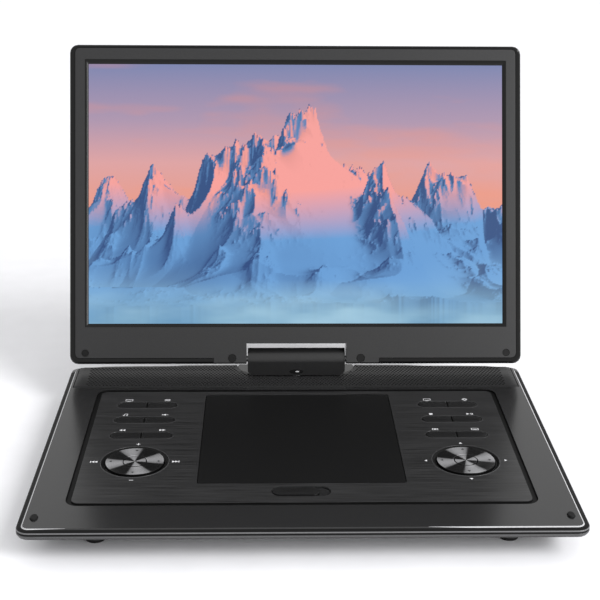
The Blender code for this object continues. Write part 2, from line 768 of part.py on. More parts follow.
def key(name, base, x_inner, side, y):
    """One half of a key pair: straight at its inner end and round at its outer end."""
    direction = 1 if side == "outer" else -1
    axis = pivot(f"{name}_slide", base, (x_inner, y, 0))
    inner, outer = x_inner, x_inner + direction * KEY_LENGTH
    low, high = sorted((inner, outer))
    cap = stadium(((low + high) / 2, y), KEY_LENGTH, KEY_WIDTH, -4.4, KEY_HEIGHT)
    for vert in cap.verts:
        near_inner = (vert.co.x - inner) * direction < KEY_WIDTH / 2
        if near_inner:
            vert.co.x = inner
            vert.co.y = y + (KEY_WIDTH / 2 if vert.co.y > y else -KEY_WIDTH / 2)
    bmesh.ops.remove_doubles(cap, verts=cap.verts, dist=0.001)
    made = part(name, cap, "key", axis)
    flange_low, flange_high = sorted((inner, outer + direction * 0.9))
    add(
        made,
        box((flange_low, y - 5.7, -4.6), (flange_high, y + 5.7, -3.6)),
        cylinder(((low + high) / 2, y, -6.2), ((low + high) / 2, y, -4.3), 1.6, 10),
    )


def keys(base):
    for column, side in (("left", -1), ("right", 1)):
        for row, y in enumerate(KEY_ROWS, start=1):
            middle = side * KEY_SLOT_X
            key(f"key_{column}_{row}a", base, middle - 0.2, "inner", y)
            key(f"key_{column}_{row}b", base, middle + 0.2, "outer", y)


def dial(base, name, x):
    centre = (x, DIAL_Y)
    tilt_x = pivot(f"pad_pivot_{name}_axis", base, (x, DIAL_Y, DIAL_PIVOT_Z))
    gimbal = cylinder((*centre, DIAL_PIVOT_Z - 0.6), (*centre, DIAL_PIVOT_Z + 0.6), 12.0, 24)
    gimbal = part(f"pad_pivot_{name}", gimbal, "nylon", tilt_x)
    add(
        gimbal,
        cylinder((x - 15, DIAL_Y, DIAL_PIVOT_Z), (x + 15, DIAL_Y, DIAL_PIVOT_Z), 0.5, 12),
    )
    cut(gimbal, cylinder((*centre, -8), (*centre, 0), 8.2, 24))
    tilt_y = pivot(f"nav_ring_{name}_axis", tilt_x, (x, DIAL_Y, DIAL_PIVOT_Z))
    disc = cylinder((*centre, -3.3), (*centre, 0.5), DIAL_RADIUS, 40)
    soften(disc, lambda co: co.z > 0.4, 0.5, 1)
    ring = part(f"nav_ring_{name}", disc, "dial", tilt_y)
    cut(ring, cylinder((*centre, -8), (*centre, 3), OK_RADIUS + 0.35, 28))
    slide = pivot(f"ok_button_{name}_slide", base, (x, DIAL_Y, 0))
    button = cylinder((*centre, -5.2), (*centre, 0.6), OK_RADIUS, 28)
    soften(button, lambda co: co.z > 0.5, 0.5, 1)
    button = part(f"ok_button_{name}", button, "dial", slide)
    add(button, cylinder((*centre, -6.2), (*centre, -5.0), 1.6, 16))


def latch(base):
    slide = pivot("latch_slide", base, (LATCH_KNOB_CENTRE_X, LATCH_Y, 0))
    knob = stadium((LATCH_KNOB_CENTRE_X, LATCH_Y), LATCH_KNOB_LENGTH, 9.0, -0.9, 0.3)
    slider = part("latch_slider", knob, "key", slide)
    add(
        slider,
        box((-12.0, LATCH_Y - 2.6, -4.0), (4.0, LATCH_Y + 2.4, -0.6)),
        box((-6.0, LATCH_Y, -2.9), (0.0, DOOR_FRONT - 0.7, -1.9)),
        box((-14.0, LATCH_Y - 4.4, -5.0), (6.0, LATCH_Y + 4.2, -3.6)),
    )
    for i in range(9):
        x = LATCH_KNOB_CENTRE_X - 8.0 + 2.0 * i
        add(slider, box((x - 0.35, LATCH_Y - 2.8, 0.1), (x + 0.35, LATCH_Y + 2.8, 0.6)))


# ---------------------------------------------------------------- swivel hinge


def swivel(base):
    axis = pivot("swivel_axis", base, (0, 0, HINGE_HEIGHT))
    barrel = cylinder(
        (-BLOCK_HALF_WIDTH, 0, HINGE_HEIGHT), (BLOCK_HALF_WIDTH, 0, HINGE_HEIGHT), BARREL_RADIUS, 40
    )
    block = part("hinge_block", barrel, "shell", axis)
    foot = rounded_box(
        (-BLOCK_HALF_WIDTH, -BARREL_RADIUS, BLOCK_BOTTOM),
        (BLOCK_HALF_WIDTH, BARREL_RADIUS, HINGE_HEIGHT),
        3.0,
        axis=1,
        segments=1,
    )
    for vert in foot.verts:
        if vert.co.z > HINGE_HEIGHT - 4:
            vert.co.x = BLOCK_HALF_WIDTH if vert.co.x > 0 else -BLOCK_HALF_WIDTH
            vert.co.z = HINGE_HEIGHT
    bmesh.ops.remove_doubles(foot, verts=foot.verts, dist=0.001)
    add(block, foot)
    reach = BLOCK_HALF_WIDTH + 2
    cut(
        block,
        cylinder((-reach, 0, HINGE_HEIGHT), (-22, 0, HINGE_HEIGHT), PIN_RADIUS + GAP, 20),
        cylinder((22, 0, HINGE_HEIGHT), (reach, 0, HINGE_HEIGHT), PIN_RADIUS + GAP, 20),
        cylinder((0, 0, -1), (0, 0, 7), SHAFT_RADIUS + GAP, 24),
    )
    shaft = part("swivel_shaft", cylinder((0, 0, -4.4), (0, 0, 6.6), SHAFT_RADIUS, 24), "steel", axis)
    add(shaft, cylinder((0, 0, -5.4), (0, 0, -3.6), 8.4, 24))
    cut(shaft, cylinder((0, 0, -8), (0, 0, 9), 3.4, 20))
    return axis


# ---------------------------------------------------------------- lid


def lid_cover(lid):
    low = (-LID_HALF_WIDTH, LID_FRONT, LID_BOTTOM)
    high = (LID_HALF_WIDTH, LID_BACK, LID_TOP)
    outside = rounded_box(low, high, LID_CORNER_RADIUS, axis=1, segments=4)
    soften(outside, lambda co: co.y > LID_BACK - 0.01, LID_BACK_FILLET - 0.01, 3)
    soften(outside, lambda co: co.y < LID_FRONT + 0.01, 1.6, 2)
    cover = part("lid_rear_cover", outside, "shell", lid)
    edge = BEZEL_SIDE_INSET - GAP
    cavity = rounded_box(
        (-LID_HALF_WIDTH + edge, LID_FRONT - 3, LID_BOTTOM + BEZEL_BOTTOM_INSET - GAP),
        (LID_HALF_WIDTH - edge, LID_BACK - LID_WALL, LID_TOP - BEZEL_TOP_INSET + GAP),
        3.5,
        axis=1,
        segments=3,
    )
    cut(cover, cavity)
    wall = NOTCH_HALF_WIDTH + 1.8
    behind_bezel = BEZEL_FRONT + BEZEL_THICKNESS + GAP
    add(cover, box((-wall, behind_bezel, LID_BOTTOM + 0.6), (wall, LID_BACK - 1, NOTCH_TOP + 1.8)))
    half = CHIN_TAB_HALF_WIDTH + GAP
    cut(cover, box((-half, LID_FRONT - 3, LID_BOTTOM + 0.6), (half, behind_bezel, 4)))
    cut(
        cover,
        box((-NOTCH_HALF_WIDTH, LID_FRONT - 3, LID_BOTTOM - 3), (NOTCH_HALF_WIDTH, LID_BACK + 3, NOTCH_TOP)),
    )
    cut(cover, cylinder((-wall - 6, 0, 0), (wall + 6, 0, 0), PIN_RADIUS + GAP, 20))


def lid_bezel(lid):
    half = LID_HALF_WIDTH - BEZEL_SIDE_INSET
    bottom = LID_BOTTOM + BEZEL_BOTTOM_INSET
    back = BEZEL_FRONT + BEZEL_THICKNESS
    plate = rounded_box(
        (-half, BEZEL_FRONT, bottom), (half, back, LID_TOP - BEZEL_TOP_INSET), 3.2, axis=1, segments=3
    )
    bezel = part("lid_bezel", plate, "bezel", lid)
    add(
        bezel,
        box(
            (-CHIN_TAB_HALF_WIDTH, BEZEL_FRONT, LID_BOTTOM + 0.9), (CHIN_TAB_HALF_WIDTH, back, bottom + 3)
        ),
    )
    cut(
        bezel,
        box(
            (-WINDOW_HALF_WIDTH, BEZEL_FRONT - 3, WINDOW_BOTTOM), (WINDOW_HALF_WIDTH, back + 3, WINDOW_TOP)
        ),
        box((-NOTCH_HALF_WIDTH, BEZEL_FRONT - 3, LID_BOTTOM - 3), (NOTCH_HALF_WIDTH, back + 3, NOTCH_TOP)),
        *[cylinder((x, -14, z), (x, BEZEL_FRONT + 0.9, z), r + GAP, 16) for x, z, r in PLUGS],
    )
    for number, (x, z, radius) in enumerate(PLUGS, start=1):
        plug = cylinder((x, BEZEL_FRONT - 0.2, z), (x, BEZEL_FRONT + 0.6, z), radius, 16)
        part(f"bezel_plug_{number}", plug, "rubber", lid)


def lid_inside(lid):
    screen_front = BEZEL_FRONT + BEZEL_THICKNESS + GAP
    part(
        "lcd_panel",
        box((-156.8, screen_front, WINDOW_BOTTOM - 2.6), (156.8, screen_front + 4.5, WINDOW_TOP + 3.4)),
        "screen",
        lid,
    )
    board = part("lcd_driver_board", box((50, -2.4, 20), (140, -0.8, 52)), "board", lid)
    add(board, box((70, -1.2, 30), (86, 1.4, 44)), box((104, -1.2, 24), (126, 2.2, 32)))
    for name, side in (("left", -1), ("right", 1)):
        low, high = sorted((side * 41.2, side * 72.0))
        leaf = part(f"hinge_leaf_{name}", box((low, -0.8, 1.2), (high, 0.8, 17.0)), "steel", lid)
        add(
            leaf,
            cylinder((side * 24.0, 0, 0), (side * 43.6, 0, 0), PIN_RADIUS, 16),
        )
        cut(
            leaf,
            cylinder((side * 58, -3, 10), (side * 58, 3, 10), 1.6, 12),
            cylinder((side * 67, -3, 10), (side * 67, 3, 10), 1.6, 12),
        )


def main():
    clear_scene()
    make_collections()
    make_materials()
    base = frame("deck_frame", None, (0, HINGE_Y, DECK_HEIGHT))
    bottom_shell(base)
    top_deck(base)
    control_panel(base)
    speaker_grille(base)
    feet_and_bumpers(base)
    side_sockets(base)
    disc_bay(base)
    disc_door(base)
    loader(base)
    electronics(base)
    keys(base)
    for name, x in (("left", -DIAL_X), ("right", DIAL_X)):
        dial(base, name, x)
    latch(base)
    axis = swivel(base)
    lid = frame("lid_frame", axis, (0, 0, HINGE_HEIGHT), LID_LEAN)
    lid_cover(lid)
    lid_bezel(lid)
    lid_inside(lid)


main()
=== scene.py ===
"""Looks for the portable DVD player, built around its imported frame.

Sizes are in millimetres. The deck's frame starts where the two hinge axes cross, seen from above, at the
height of the deck's top: x to the right, y to the rear, z up. The lid's frame starts where the axes cross
and leans with the lid: x to the right, y out of its back, z up the lid.
"""

import json
from math import atan2, cos, pi, radians, sin

import bmesh
import bpy
import numpy as np
from mathutils import Matrix, Vector


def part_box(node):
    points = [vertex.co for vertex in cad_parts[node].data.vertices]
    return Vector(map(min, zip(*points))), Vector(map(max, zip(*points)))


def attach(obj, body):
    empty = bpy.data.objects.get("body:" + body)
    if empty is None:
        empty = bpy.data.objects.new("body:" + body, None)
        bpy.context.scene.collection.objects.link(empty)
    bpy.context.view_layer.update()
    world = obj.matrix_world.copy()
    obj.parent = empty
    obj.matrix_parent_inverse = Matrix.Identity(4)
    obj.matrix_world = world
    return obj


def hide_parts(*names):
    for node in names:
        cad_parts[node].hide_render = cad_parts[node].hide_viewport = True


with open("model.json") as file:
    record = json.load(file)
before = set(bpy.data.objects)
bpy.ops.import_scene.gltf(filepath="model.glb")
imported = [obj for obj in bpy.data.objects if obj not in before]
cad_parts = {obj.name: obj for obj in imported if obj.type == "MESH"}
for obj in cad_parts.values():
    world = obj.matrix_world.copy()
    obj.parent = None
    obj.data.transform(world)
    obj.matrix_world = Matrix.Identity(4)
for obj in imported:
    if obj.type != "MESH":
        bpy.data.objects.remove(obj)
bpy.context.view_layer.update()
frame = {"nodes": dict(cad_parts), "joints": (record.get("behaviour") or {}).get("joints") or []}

MM = 0.001
NODES = frame["nodes"]
JOINTS = {joint["name"]: joint for joint in frame["joints"]}

HINGE = Vector(JOINTS["lid_tilt"]["pos_m"])
DECK_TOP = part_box("control_panel")[1].z
LID_LEAN = radians(20.0)
SCALE = Matrix.Scale(MM, 4)
DECK = Matrix.Translation((HINGE.x, HINGE.y, DECK_TOP)) @ SCALE
LID = Matrix.Translation(HINGE) @ Matrix.Rotation(-LID_LEAN, 4, "X") @ SCALE

# Camera, in the row frame
CAMERA_AT = (-0.0217, -0.8204, 0.4006)
CAMERA_YAW = radians(1.55)
CAMERA_PITCH = radians(19.74)
CAMERA_ROLL = radians(-0.48)
CAMERA_LENS = 78.24
CAMERA_SENSOR = 36.0

# Screen, in the lid's frame
BEZEL_FRONT = -10.0
PANEL_FRONT = -8.2
WINDOW = (-154.5, 154.5, 23.6, 219.5)
ACTIVE = (-151.85, 151.85, 26.1, 216.2)
PICTURE_COLUMNS = 440
PICTURE_ROWS = 275

# Speaker grille, in the deck's frame: its heights match the solid that it stands for
GRILLE_HALF_WIDTH = 161.2
GRILLE_FRONT = -25.9
GRILLE_REAR = 10.1
GRILLE_BOW = 4.3
GRILLE_RISE = ((0.3, -0.3), (1.2, 0.0), (12.0, 0.35), (22.0, 0.7), (29.0, 0.85))
GRILLE_ROLL = ((1.6, 1.3), (0.4, 1.0), (0.0, 0.3))
GRILLE_ENDS = ((0.0, 0.0), (1.5, 0.7), (4.0, 1.0))
BASE_HALF_WIDTH = 161.0
SEAT_CENTRE_Y = 11.0
SEAT_HALF_WIDTH = 43.5
SEAT_HALF_DEPTH = 20.0
SEAT_GAP = 0.3
HOLE_PITCH = 2.6
HOLE_ROW_DEPTH = HOLE_PITCH * 0.87
HOLE_RADIUS = 0.88
HOLE_REAR_ROOM = 3.2
HOLE_SEAT_ROOM = 1.9
GRILLE_MARGIN = 9.0
GRILLE_FOOT = -1.2
GRILLE_RIM_LOW = -0.45
HOLE_DEPTH = 1.3

# The groove round the control panel
POCKET = (-142.7, 142.7, -202.0, -30.6)
POCKET_RADIUS = 8.0
GROOVE_WIDTH = 3.5
GROOVE_FLOOR = -1.2

KEY_SLOT_X = 105.25
KEY_SLOT_LENGTH = 42.0
KEY_SLOT_WIDTH = 10.0
KEY_ROWS = (-56.9, -81.3, -105.7)
KEY_TOP = 0.4
KEY_HALF_WIDTH = 4.7
KEY_LENGTH = 20.4
ICON_LIFT = 0.03
ICON_SCALE = 1.15
ICON_SPREAD = 2.6
KEY_ICON_RISE = 8.2
DIAL_ICON_REACH = (25.8, 25.2)
DIAL_MARK_REACH = 15.4

# The base's edge: its front corners, how far back the painted lines on it run, and where the bright painted
# highlight thins out
EDGE_RADIUS = 8.0
EDGE_REAR = 4.0
EDGE_TIPS = (-138.0, 72.0)
EDGE_TIP_INSET = 3.7
EDGE_TIP_LENGTH = 28

# How far in from the shell's front and rear the rows of screws are, and how far out they spread
SCREW_FRONT = 48.0
SCREW_REAR = 58.0
SCREW_SPREAD = 0.3
CONTACT_PLACES = (2.6, 4.5, 6.4, 8.3)

WORLD_LIGHT = 0.85
SUN_STRENGTH = 1.5
SUN_ANGLE = radians(24)
SUN_DIRECTION = (-0.75, 0.55, -0.80)
SIDE_LIGHT_AT = (1.0, -1.0, 0.6)
SIDE_LIGHT_AIM = (0.1, 0.05, 0.15)
SIDE_LIGHT_SIZE = (0.7, 0.7)
SIDE_LIGHT_POWER = 14
FLOOR_SIZE = 30.0


# ---------------------------------------------------------------- materials


class Look:
    """A node material that starts from object coordinates and ends in one Principled shader."""

    def __init__(self, name):
        self.material = bpy.data.materials.new(name)
        self.material.use_nodes = True
        self.nodes = self.material.node_tree.nodes
        self.links = self.material.node_tree.links
        self.shader = self.nodes["Principled BSDF"]
        self.place = self.nodes.new("ShaderNodeTexCoord").outputs["Object"]

    def link(self, source, target):
        self.links.new(source, target)

    def math(self, operation, first, second=0.0):
        node = self.nodes.new("ShaderNodeMath")
        node.operation = operation
        for socket, value in zip(node.inputs, (first, second)):
            if isinstance(value, (int, float)):
                socket.default_value = value
            else:
                self.link(value, socket)
        return node.outputs[0]

    def mapped(self, scale=(1, 1, 1), location=(0, 0, 0)):
        node = self.nodes.new("ShaderNodeMapping")
        node.inputs["Scale"].default_value = scale
        node.inputs["Location"].default_value = location
        self.link(self.place, node.inputs["Vector"])
        return node.outputs[0]

    def noise(self, vector, scale, detail=3.0):
        node = self.nodes.new("ShaderNodeTexNoise")
        node.inputs["Scale"].default_value = scale
        node.inputs["Detail"].default_value = detail
        self.link(vector, node.inputs["Vector"])
        return node.outputs["Fac"]

    def ramp(self, value, stops):
        node = self.nodes.new("ShaderNodeValToRGB")
        elements = node.color_ramp.elements
        while len(elements) < len(stops):
            elements.new(0.5)
        for element, (position, colour) in zip(elements, stops):
            element.position = position
            element.color = (*colour, 1.0)
        self.link(value, node.inputs["Fac"])
        return node.outputs["Color"]

    def spread(self, value, low, high):
        node = self.nodes.new("ShaderNodeMapRange")
        node.inputs["To Min"].default_value = low
        node.inputs["To Max"].default_value = high
        self.link(value, node.inputs["Value"])
        return node.outputs[0]

    def bump(self, height, strength, distance_mm):
        node = self.nodes.new("ShaderNodeBump")
        node.inputs["Strength"].default_value = strength
        node.inputs["Distance"].default_value = distance_mm * MM
        self.link(height, node.inputs["Height"])
        self.link(node.outputs["Normal"], self.shader.inputs["Normal"])


def surface(
    name,
    dark,
    light,
    roughness=(0.4, 0.5),
    grain=1500.0,
    stretch=(1, 1, 1),
    bump=0.15,
    depth=0.02,
    metallic=0.0,
    coat=0.0,
    specular=0.5,
):
    """A moulded, painted or brushed surface: its grain varies the colour, the gloss and the height."""
    look = Look(name)
    vector = look.mapped(stretch)
    grain_value = look.noise(vector, grain, 4.0)
    look.link(look.ramp(grain_value, ((0.3, dark), (0.7, light))), look.shader.inputs["Base Color"])
    cloud = look.noise(look.mapped(), 18.0, 3.0)
    look.link(look.spread(cloud, *roughness), look.shader.inputs["Roughness"])
    look.bump(grain_value, bump, depth)
    look.shader.inputs["Metallic"].default_value = metallic
    look.shader.inputs["Specular IOR Level"].default_value = specular
    if coat:
        look.shader.inputs["Coat Weight"].default_value = coat
        look.shader.inputs["Coat Roughness"].default_value = 0.08
    return look.material


def grey(level):
    return (level, level, level * 1.03)


def spun_metal_painted_sheen(name, centre):
    """Turned metal: fine rings, and four bright wedges painted into its colour by angle, a painted sheen
    where light would leave a turned face.
    """
    look = Look(name)
    split = look.nodes.new("ShaderNodeSeparateXYZ")
    look.link(look.mapped(location=(-centre.x, -centre.y, 0)), split.inputs[0])
    x, y = split.outputs["X"], split.outputs["Y"]
    angle = look.math("ARCTAN2", y, x)
    turned = look.math("MULTIPLY", look.math("SUBTRACT", angle, radians(13.0)), 4.0)
    painted_sheen_wedge = look.spread(look.math("COSINE", turned), 0.0, 1.0)
    painted_sheen_wedge.node.inputs["From Min"].default_value = -1.0
    radius = look.math("SQRT", look.math("ADD", look.math("MULTIPLY", x, x), look.math("MULTIPLY", y, y)))
    rings = look.math("SINE", look.math("MULTIPLY", radius, 2 * pi / (0.55 * MM)))
    fine = look.noise(look.mapped((1, 1, 1)), 900.0, 2.0)
    shade = look.math("ADD", painted_sheen_wedge, look.math("MULTIPLY", rings, 0.05))
    shade = look.math("ADD", shade, look.math("MULTIPLY", look.math("SUBTRACT", fine, 0.5), 0.12))
    # Painted sheen: the ramp turns the wedges into bright base colour and the gaps between them into near
    # black.
    stops = ((0.26, grey(0.010)), (0.38, grey(0.020)), (0.54, grey(0.26)), (1.0, grey(0.42)))
    look.link(look.ramp(shade, stops), look.shader.inputs["Base Color"])
    look.link(look.spread(rings, 0.26, 0.34), look.shader.inputs["Roughness"])
    look.bump(rings, 0.25, 0.03)
    look.shader.inputs["Metallic"].default_value = 0.45
    return look.material


def lit_picture():
    look = Look("screen_lit")
    picture = look.nodes.new("ShaderNodeAttribute")
    picture.attribute_name = "picture"
    look.link(picture.outputs["Color"], look.shader.inputs["Emission Color"])
    look.shader.inputs["Emission Strength"].default_value = 1.0
    grain = look.noise(look.mapped(), 3000.0, 2.0)
    look.link(look.ramp(grain, ((0, grey(0.003)), (1, grey(0.006)))), look.shader.inputs["Base Color"])
    look.link(look.spread(grain, 0.30, 0.36), look.shader.inputs["Roughness"])
    look.shader.inputs["Specular IOR Level"].default_value = 0.15
    return look.material


def circuit_board(name):
    """Green solder mask with paler tracks in a square pattern."""
    look = Look(name)
    brick = look.nodes.new("ShaderNodeTexBrick")
    brick.inputs["Scale"].default_value = 260.0
    brick.inputs["Mortar Size"].default_value = 0.03
    brick.inputs["Color1"].default_value = (0.010, 0.085, 0.035, 1)
    brick.inputs["Color2"].default_value = (0.014, 0.105, 0.045, 1)
    brick.inputs["Mortar"].default_value = (0.05, 0.22, 0.10, 1)
    look.link(look.place, brick.inputs["Vector"])
    look.link(brick.outputs["Color"], look.shader.inputs["Base Color"])
    look.link(look.spread(brick.outputs["Fac"], 0.45, 0.30), look.shader.inputs["Roughness"])
    look.bump(brick.outputs["Fac"], 0.2, 0.03)
    return look.material


def make_looks():
    return {
        "shell": surface("shell_black", grey(0.007), grey(0.013), (0.30, 0.38)),
        "gloss": surface("rim_gloss_black", grey(0.003), grey(0.004), (0.14, 0.20), bump=0.03, specular=0.25),
        "deck": surface("deck_satin_grey", grey(0.014), grey(0.021), (0.18, 0.23), bump=0.05, depth=0.008),
        "panel": surface(
            "panel_brushed",
            grey(0.004),
            grey(0.040),
            (0.28, 0.36),
            2600.0,
            (0.012, 1, 1),
            0.12,
            0.012,
            specular=0.35,
        ),
        "grille": surface("grille_black", grey(0.016), grey(0.025), (0.30, 0.38), bump=0.1, specular=0.25),
        # groove: black, also used as painted shade in the channel, the dial wells and down the base's edge
        # step
        "groove": surface("groove_black_and_painted_shade", grey(0.002), grey(0.004), (0.5, 0.6), bump=0.1, specular=0.15),
        # edge: a lighter grey used as painted highlight on the slot rims, the dial rims and the shell's lip
        "edge": surface("painted_highlight_grey", grey(0.045), grey(0.070), (0.22, 0.28), bump=0.05),
        # ridge: a lighter grey used as painted highlight on the ridge along the base's edge
        "ridge": surface("painted_highlight_ridge_grey", grey(0.09), grey(0.13), (0.22, 0.28), bump=0.05),
        # A bright grey used as painted highlight along the base's bevel and as the hinge block's glint
        "painted_glint": surface("painted_highlight_bright", grey(0.38), grey(0.52), (0.22, 0.28), bump=0.05),
        "plug": surface("plug_black", grey(0.002), grey(0.005), (0.5, 0.6), bump=0.2, specular=0.2),
        "cloth": surface("grille_cloth", grey(0.001), grey(0.003), (0.9, 1.0), 4000.0, bump=0.5),
        "door": surface(
            "door_matte_black", grey(0.004), grey(0.008), (0.42, 0.50), 3200.0, bump=0.2, specular=0.12
        ),
        "key": surface("key_black", grey(0.009), grey(0.015), (0.20, 0.26), bump=0.05),
        "rubber": surface(
            "rubber_black", grey(0.004), grey(0.009), (0.65, 0.8), 2200.0, bump=0.4, depth=0.04, specular=0.25
        ),
        "bezel": surface(
            "bezel_matte_grey", grey(0.015), grey(0.026), (0.42, 0.50), 2800.0, bump=0.25, specular=0.3
        ),
        "black": surface("surround_black", grey(0.002), grey(0.004), (0.25, 0.32), bump=0.05, specular=0.25),
        "steel": surface(
            "steel_plain", grey(0.36), grey(0.52), (0.26, 0.36), 1800.0, (1, 0.06, 1), 0.1, 0.01, 1.0
        ),
        "loader": surface("loader_black", grey(0.010), grey(0.018), (0.48, 0.58), 1800.0, bump=0.3),
        "nylon": surface("nylon_white", grey(0.60), grey(0.72), (0.42, 0.50), 1200.0),
        "cell": surface("battery_wrap", (0.01, 0.03, 0.12), (0.02, 0.05, 0.18), (0.2, 0.3), 500.0),
        "icon": surface("icon_white", grey(0.62), grey(0.80), (0.5, 0.6), 2500.0, bump=0.1),
        "brass": surface("contact_gold", (0.55, 0.36, 0.10), (0.75, 0.50, 0.17), (0.2, 0.3), metallic=1.0),
        "lens": surface(
            "lens_blue", (0.01, 0.02, 0.08), (0.02, 0.05, 0.16), (0.04, 0.06), bump=0.0, coat=1.0
        ),
        "board": circuit_board("board_green"),
        "screen": lit_picture(),
    }


# ---------------------------------------------------------------- pieces


def piece(name, shape, matrix, look, body, replaces=(), smooth=35.0):
    """A bmesh in one of the two frames becomes a piece that rides on a body."""
    bmesh.ops.transform(shape, matrix=matrix, verts=shape.verts)
    bmesh.ops.recalc_face_normals(shape, faces=shape.faces)
    mesh = bpy.data.meshes.new(name)
    shape.to_mesh(mesh)
    shape.free()
    mesh.shade_smooth()
    mesh.set_sharp_from_angle(angle=radians(smooth))
    made = bpy.data.objects.new(name, mesh)
    bpy.context.scene.collection.objects.link(made)
    mesh.materials.append(look)
    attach(made, body)
    if replaces:
        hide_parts(*replaces)
    return made


def loft(rings, into=None, closed=True):
    """A solid through rings of the same number of points, from the lowest up."""
    shape = into or bmesh.new()
    rows = [[shape.verts.new(point) for point in ring] for ring in rings]
    count = len(rows[0])
    for below, above in zip(rows, rows[1:]):
        for i in range(count):
            j = (i + 1) % count
            shape.faces.new((below[i], below[j], above[j], above[i]))
    if closed:
        shape.faces.new(list(reversed(rows[0])))
        shape.faces.new(rows[-1])
    return shape


def circle(centre, radius, z, sides):
    return [
        (centre[0] + radius * cos(2 * pi * i / sides), centre[1] + radius * sin(2 * pi * i / sides), z)
        for i in range(sides)
    ]


def lathe(centre, profile, sides=96):
    """A solid turned about a vertical axis, from a profile of (radius, height)."""
    return loft([circle(centre, radius, z, sides) for radius, z in profile])


def tube(centre, profile, sides=96):
    """A turned solid with a hole through it: the profile is a closed loop."""
    return loft([circle(centre, r, z, sides) for r, z in [*profile, profile[0]]], closed=False)


def node_box(node, matrix):
    """A node's box in millimetres, in the frame that a matrix places, for nodes square to that frame."""
    inverse = matrix.inverted()
    low, high = (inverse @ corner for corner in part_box(node))
    return low, high


def soften_node(name, width_mm, segments=2, angle=32.0):
    """Rounds the CAD node's edges with modifiers; its own mesh stays as it is."""
    node = NODES[name]
    weld = node.modifiers.new("weld", "WELD")
    weld.merge_threshold = 0.000002
    bevel = node.modifiers.new("bevel", "BEVEL")
    bevel.width = width_mm * MM
    bevel.segments = segments
    bevel.limit_method = "ANGLE"
    bevel.angle_limit = radians(angle)
    bevel.use_clamp_overlap = True
    normals = node.modifiers.new("normals", "WEIGHTED_NORMAL")
    normals.keep_sharp = False


def dress(names, look):
    for name in names:
        node = NODES[name]
        node.data.materials.clear()
        node.data.materials.append(look)


def dress_nodes(looks):
    by_look = {
        "shell": ("base_bottom_shell", "hinge_block"),
        "gloss": ("lid_rear_cover",),
        "deck": ("base_top_deck",),
        "panel": ("control_panel",),
        "door": ("disc_door",),
        "key": ("latch_slider", "power_switch"),
        "rubber": [name for name in NODES if name.startswith(("foot_", "lid_bumper_"))],
        "plug": [name for name in NODES if name.startswith("bezel_plug_")],
        "bezel": ("lid_bezel",),
        "black": ("lcd_panel",),
        "board": ("main_board", "button_board_left", "button_board_right", "lcd_driver_board"),
        "steel": (
            "loader_chassis",
            "guide_rod_left",
            "guide_rod_right",
            "lead_screw",
            "spindle_motor",
            "sled_motor",
            "swivel_shaft",
            "hinge_leaf_left",
            "hinge_leaf_right",
        ),
        "cell": ("battery_pack",),
        "loader": (
            "disc_well",
            "pickup_sled",
            "speaker_left",
            "speaker_right",
            "dc_inlet",
            "av_socket_block",
        ),
        "nylon": ("spindle_hub", "pad_pivot_left", "pad_pivot_right"),
    }
    for look, names in by_look.items():
        dress(names, looks[look])
    for name, width in (
        ("control_panel", 0.18),
        ("disc_door", 0.25),
        ("hinge_block", 0.45),
        ("latch_slider", 0.15),
        ("lid_bezel", 0.2),
    ):
        soften_node(name, width)


# ---------------------------------------------------------------- base


def grille_rear(x):
    return GRILLE_REAR + GRILLE_BOW * (1 - (x / BASE_HALF_WIDTH) ** 2)


def grille_height(x, y):
    """The strip climbs from the deck's level in front to its rounded rear edge, less so at its ends."""
    rear = grille_rear(x)
    line = [(GRILLE_FRONT + away, z) for away, z in GRILLE_RISE]
    line += [(rear - away, z) for away, z in GRILLE_ROLL]
    height = float(np.interp(y, [y for y, z in line], [z for y, z in line]))
    away = GRILLE_HALF_WIDTH - abs(x)
    share = float(np.interp(away, [a for a, share in GRILLE_ENDS], [share for a, share in GRILLE_ENDS]))
    return height * share if height > 0 else height


def seat_distance(x, y, room):
    """Under 1 inside the hinge's oval seat, grown by some room."""
    across = x / (SEAT_HALF_WIDTH + room)
    along = (y - SEAT_CENTRE_Y) / (SEAT_HALF_DEPTH + room)
    return across * across + along * along


def seat_edge(x):
    """Where the oval seat's front edge lies, in y; well behind the strip where there is no seat."""
    share = (x / (SEAT_HALF_WIDTH + SEAT_GAP)) ** 2
    if share >= 1:
        return 1000.0
    return SEAT_CENTRE_Y - (SEAT_HALF_DEPTH + SEAT_GAP) * (1 - share) ** 0.5


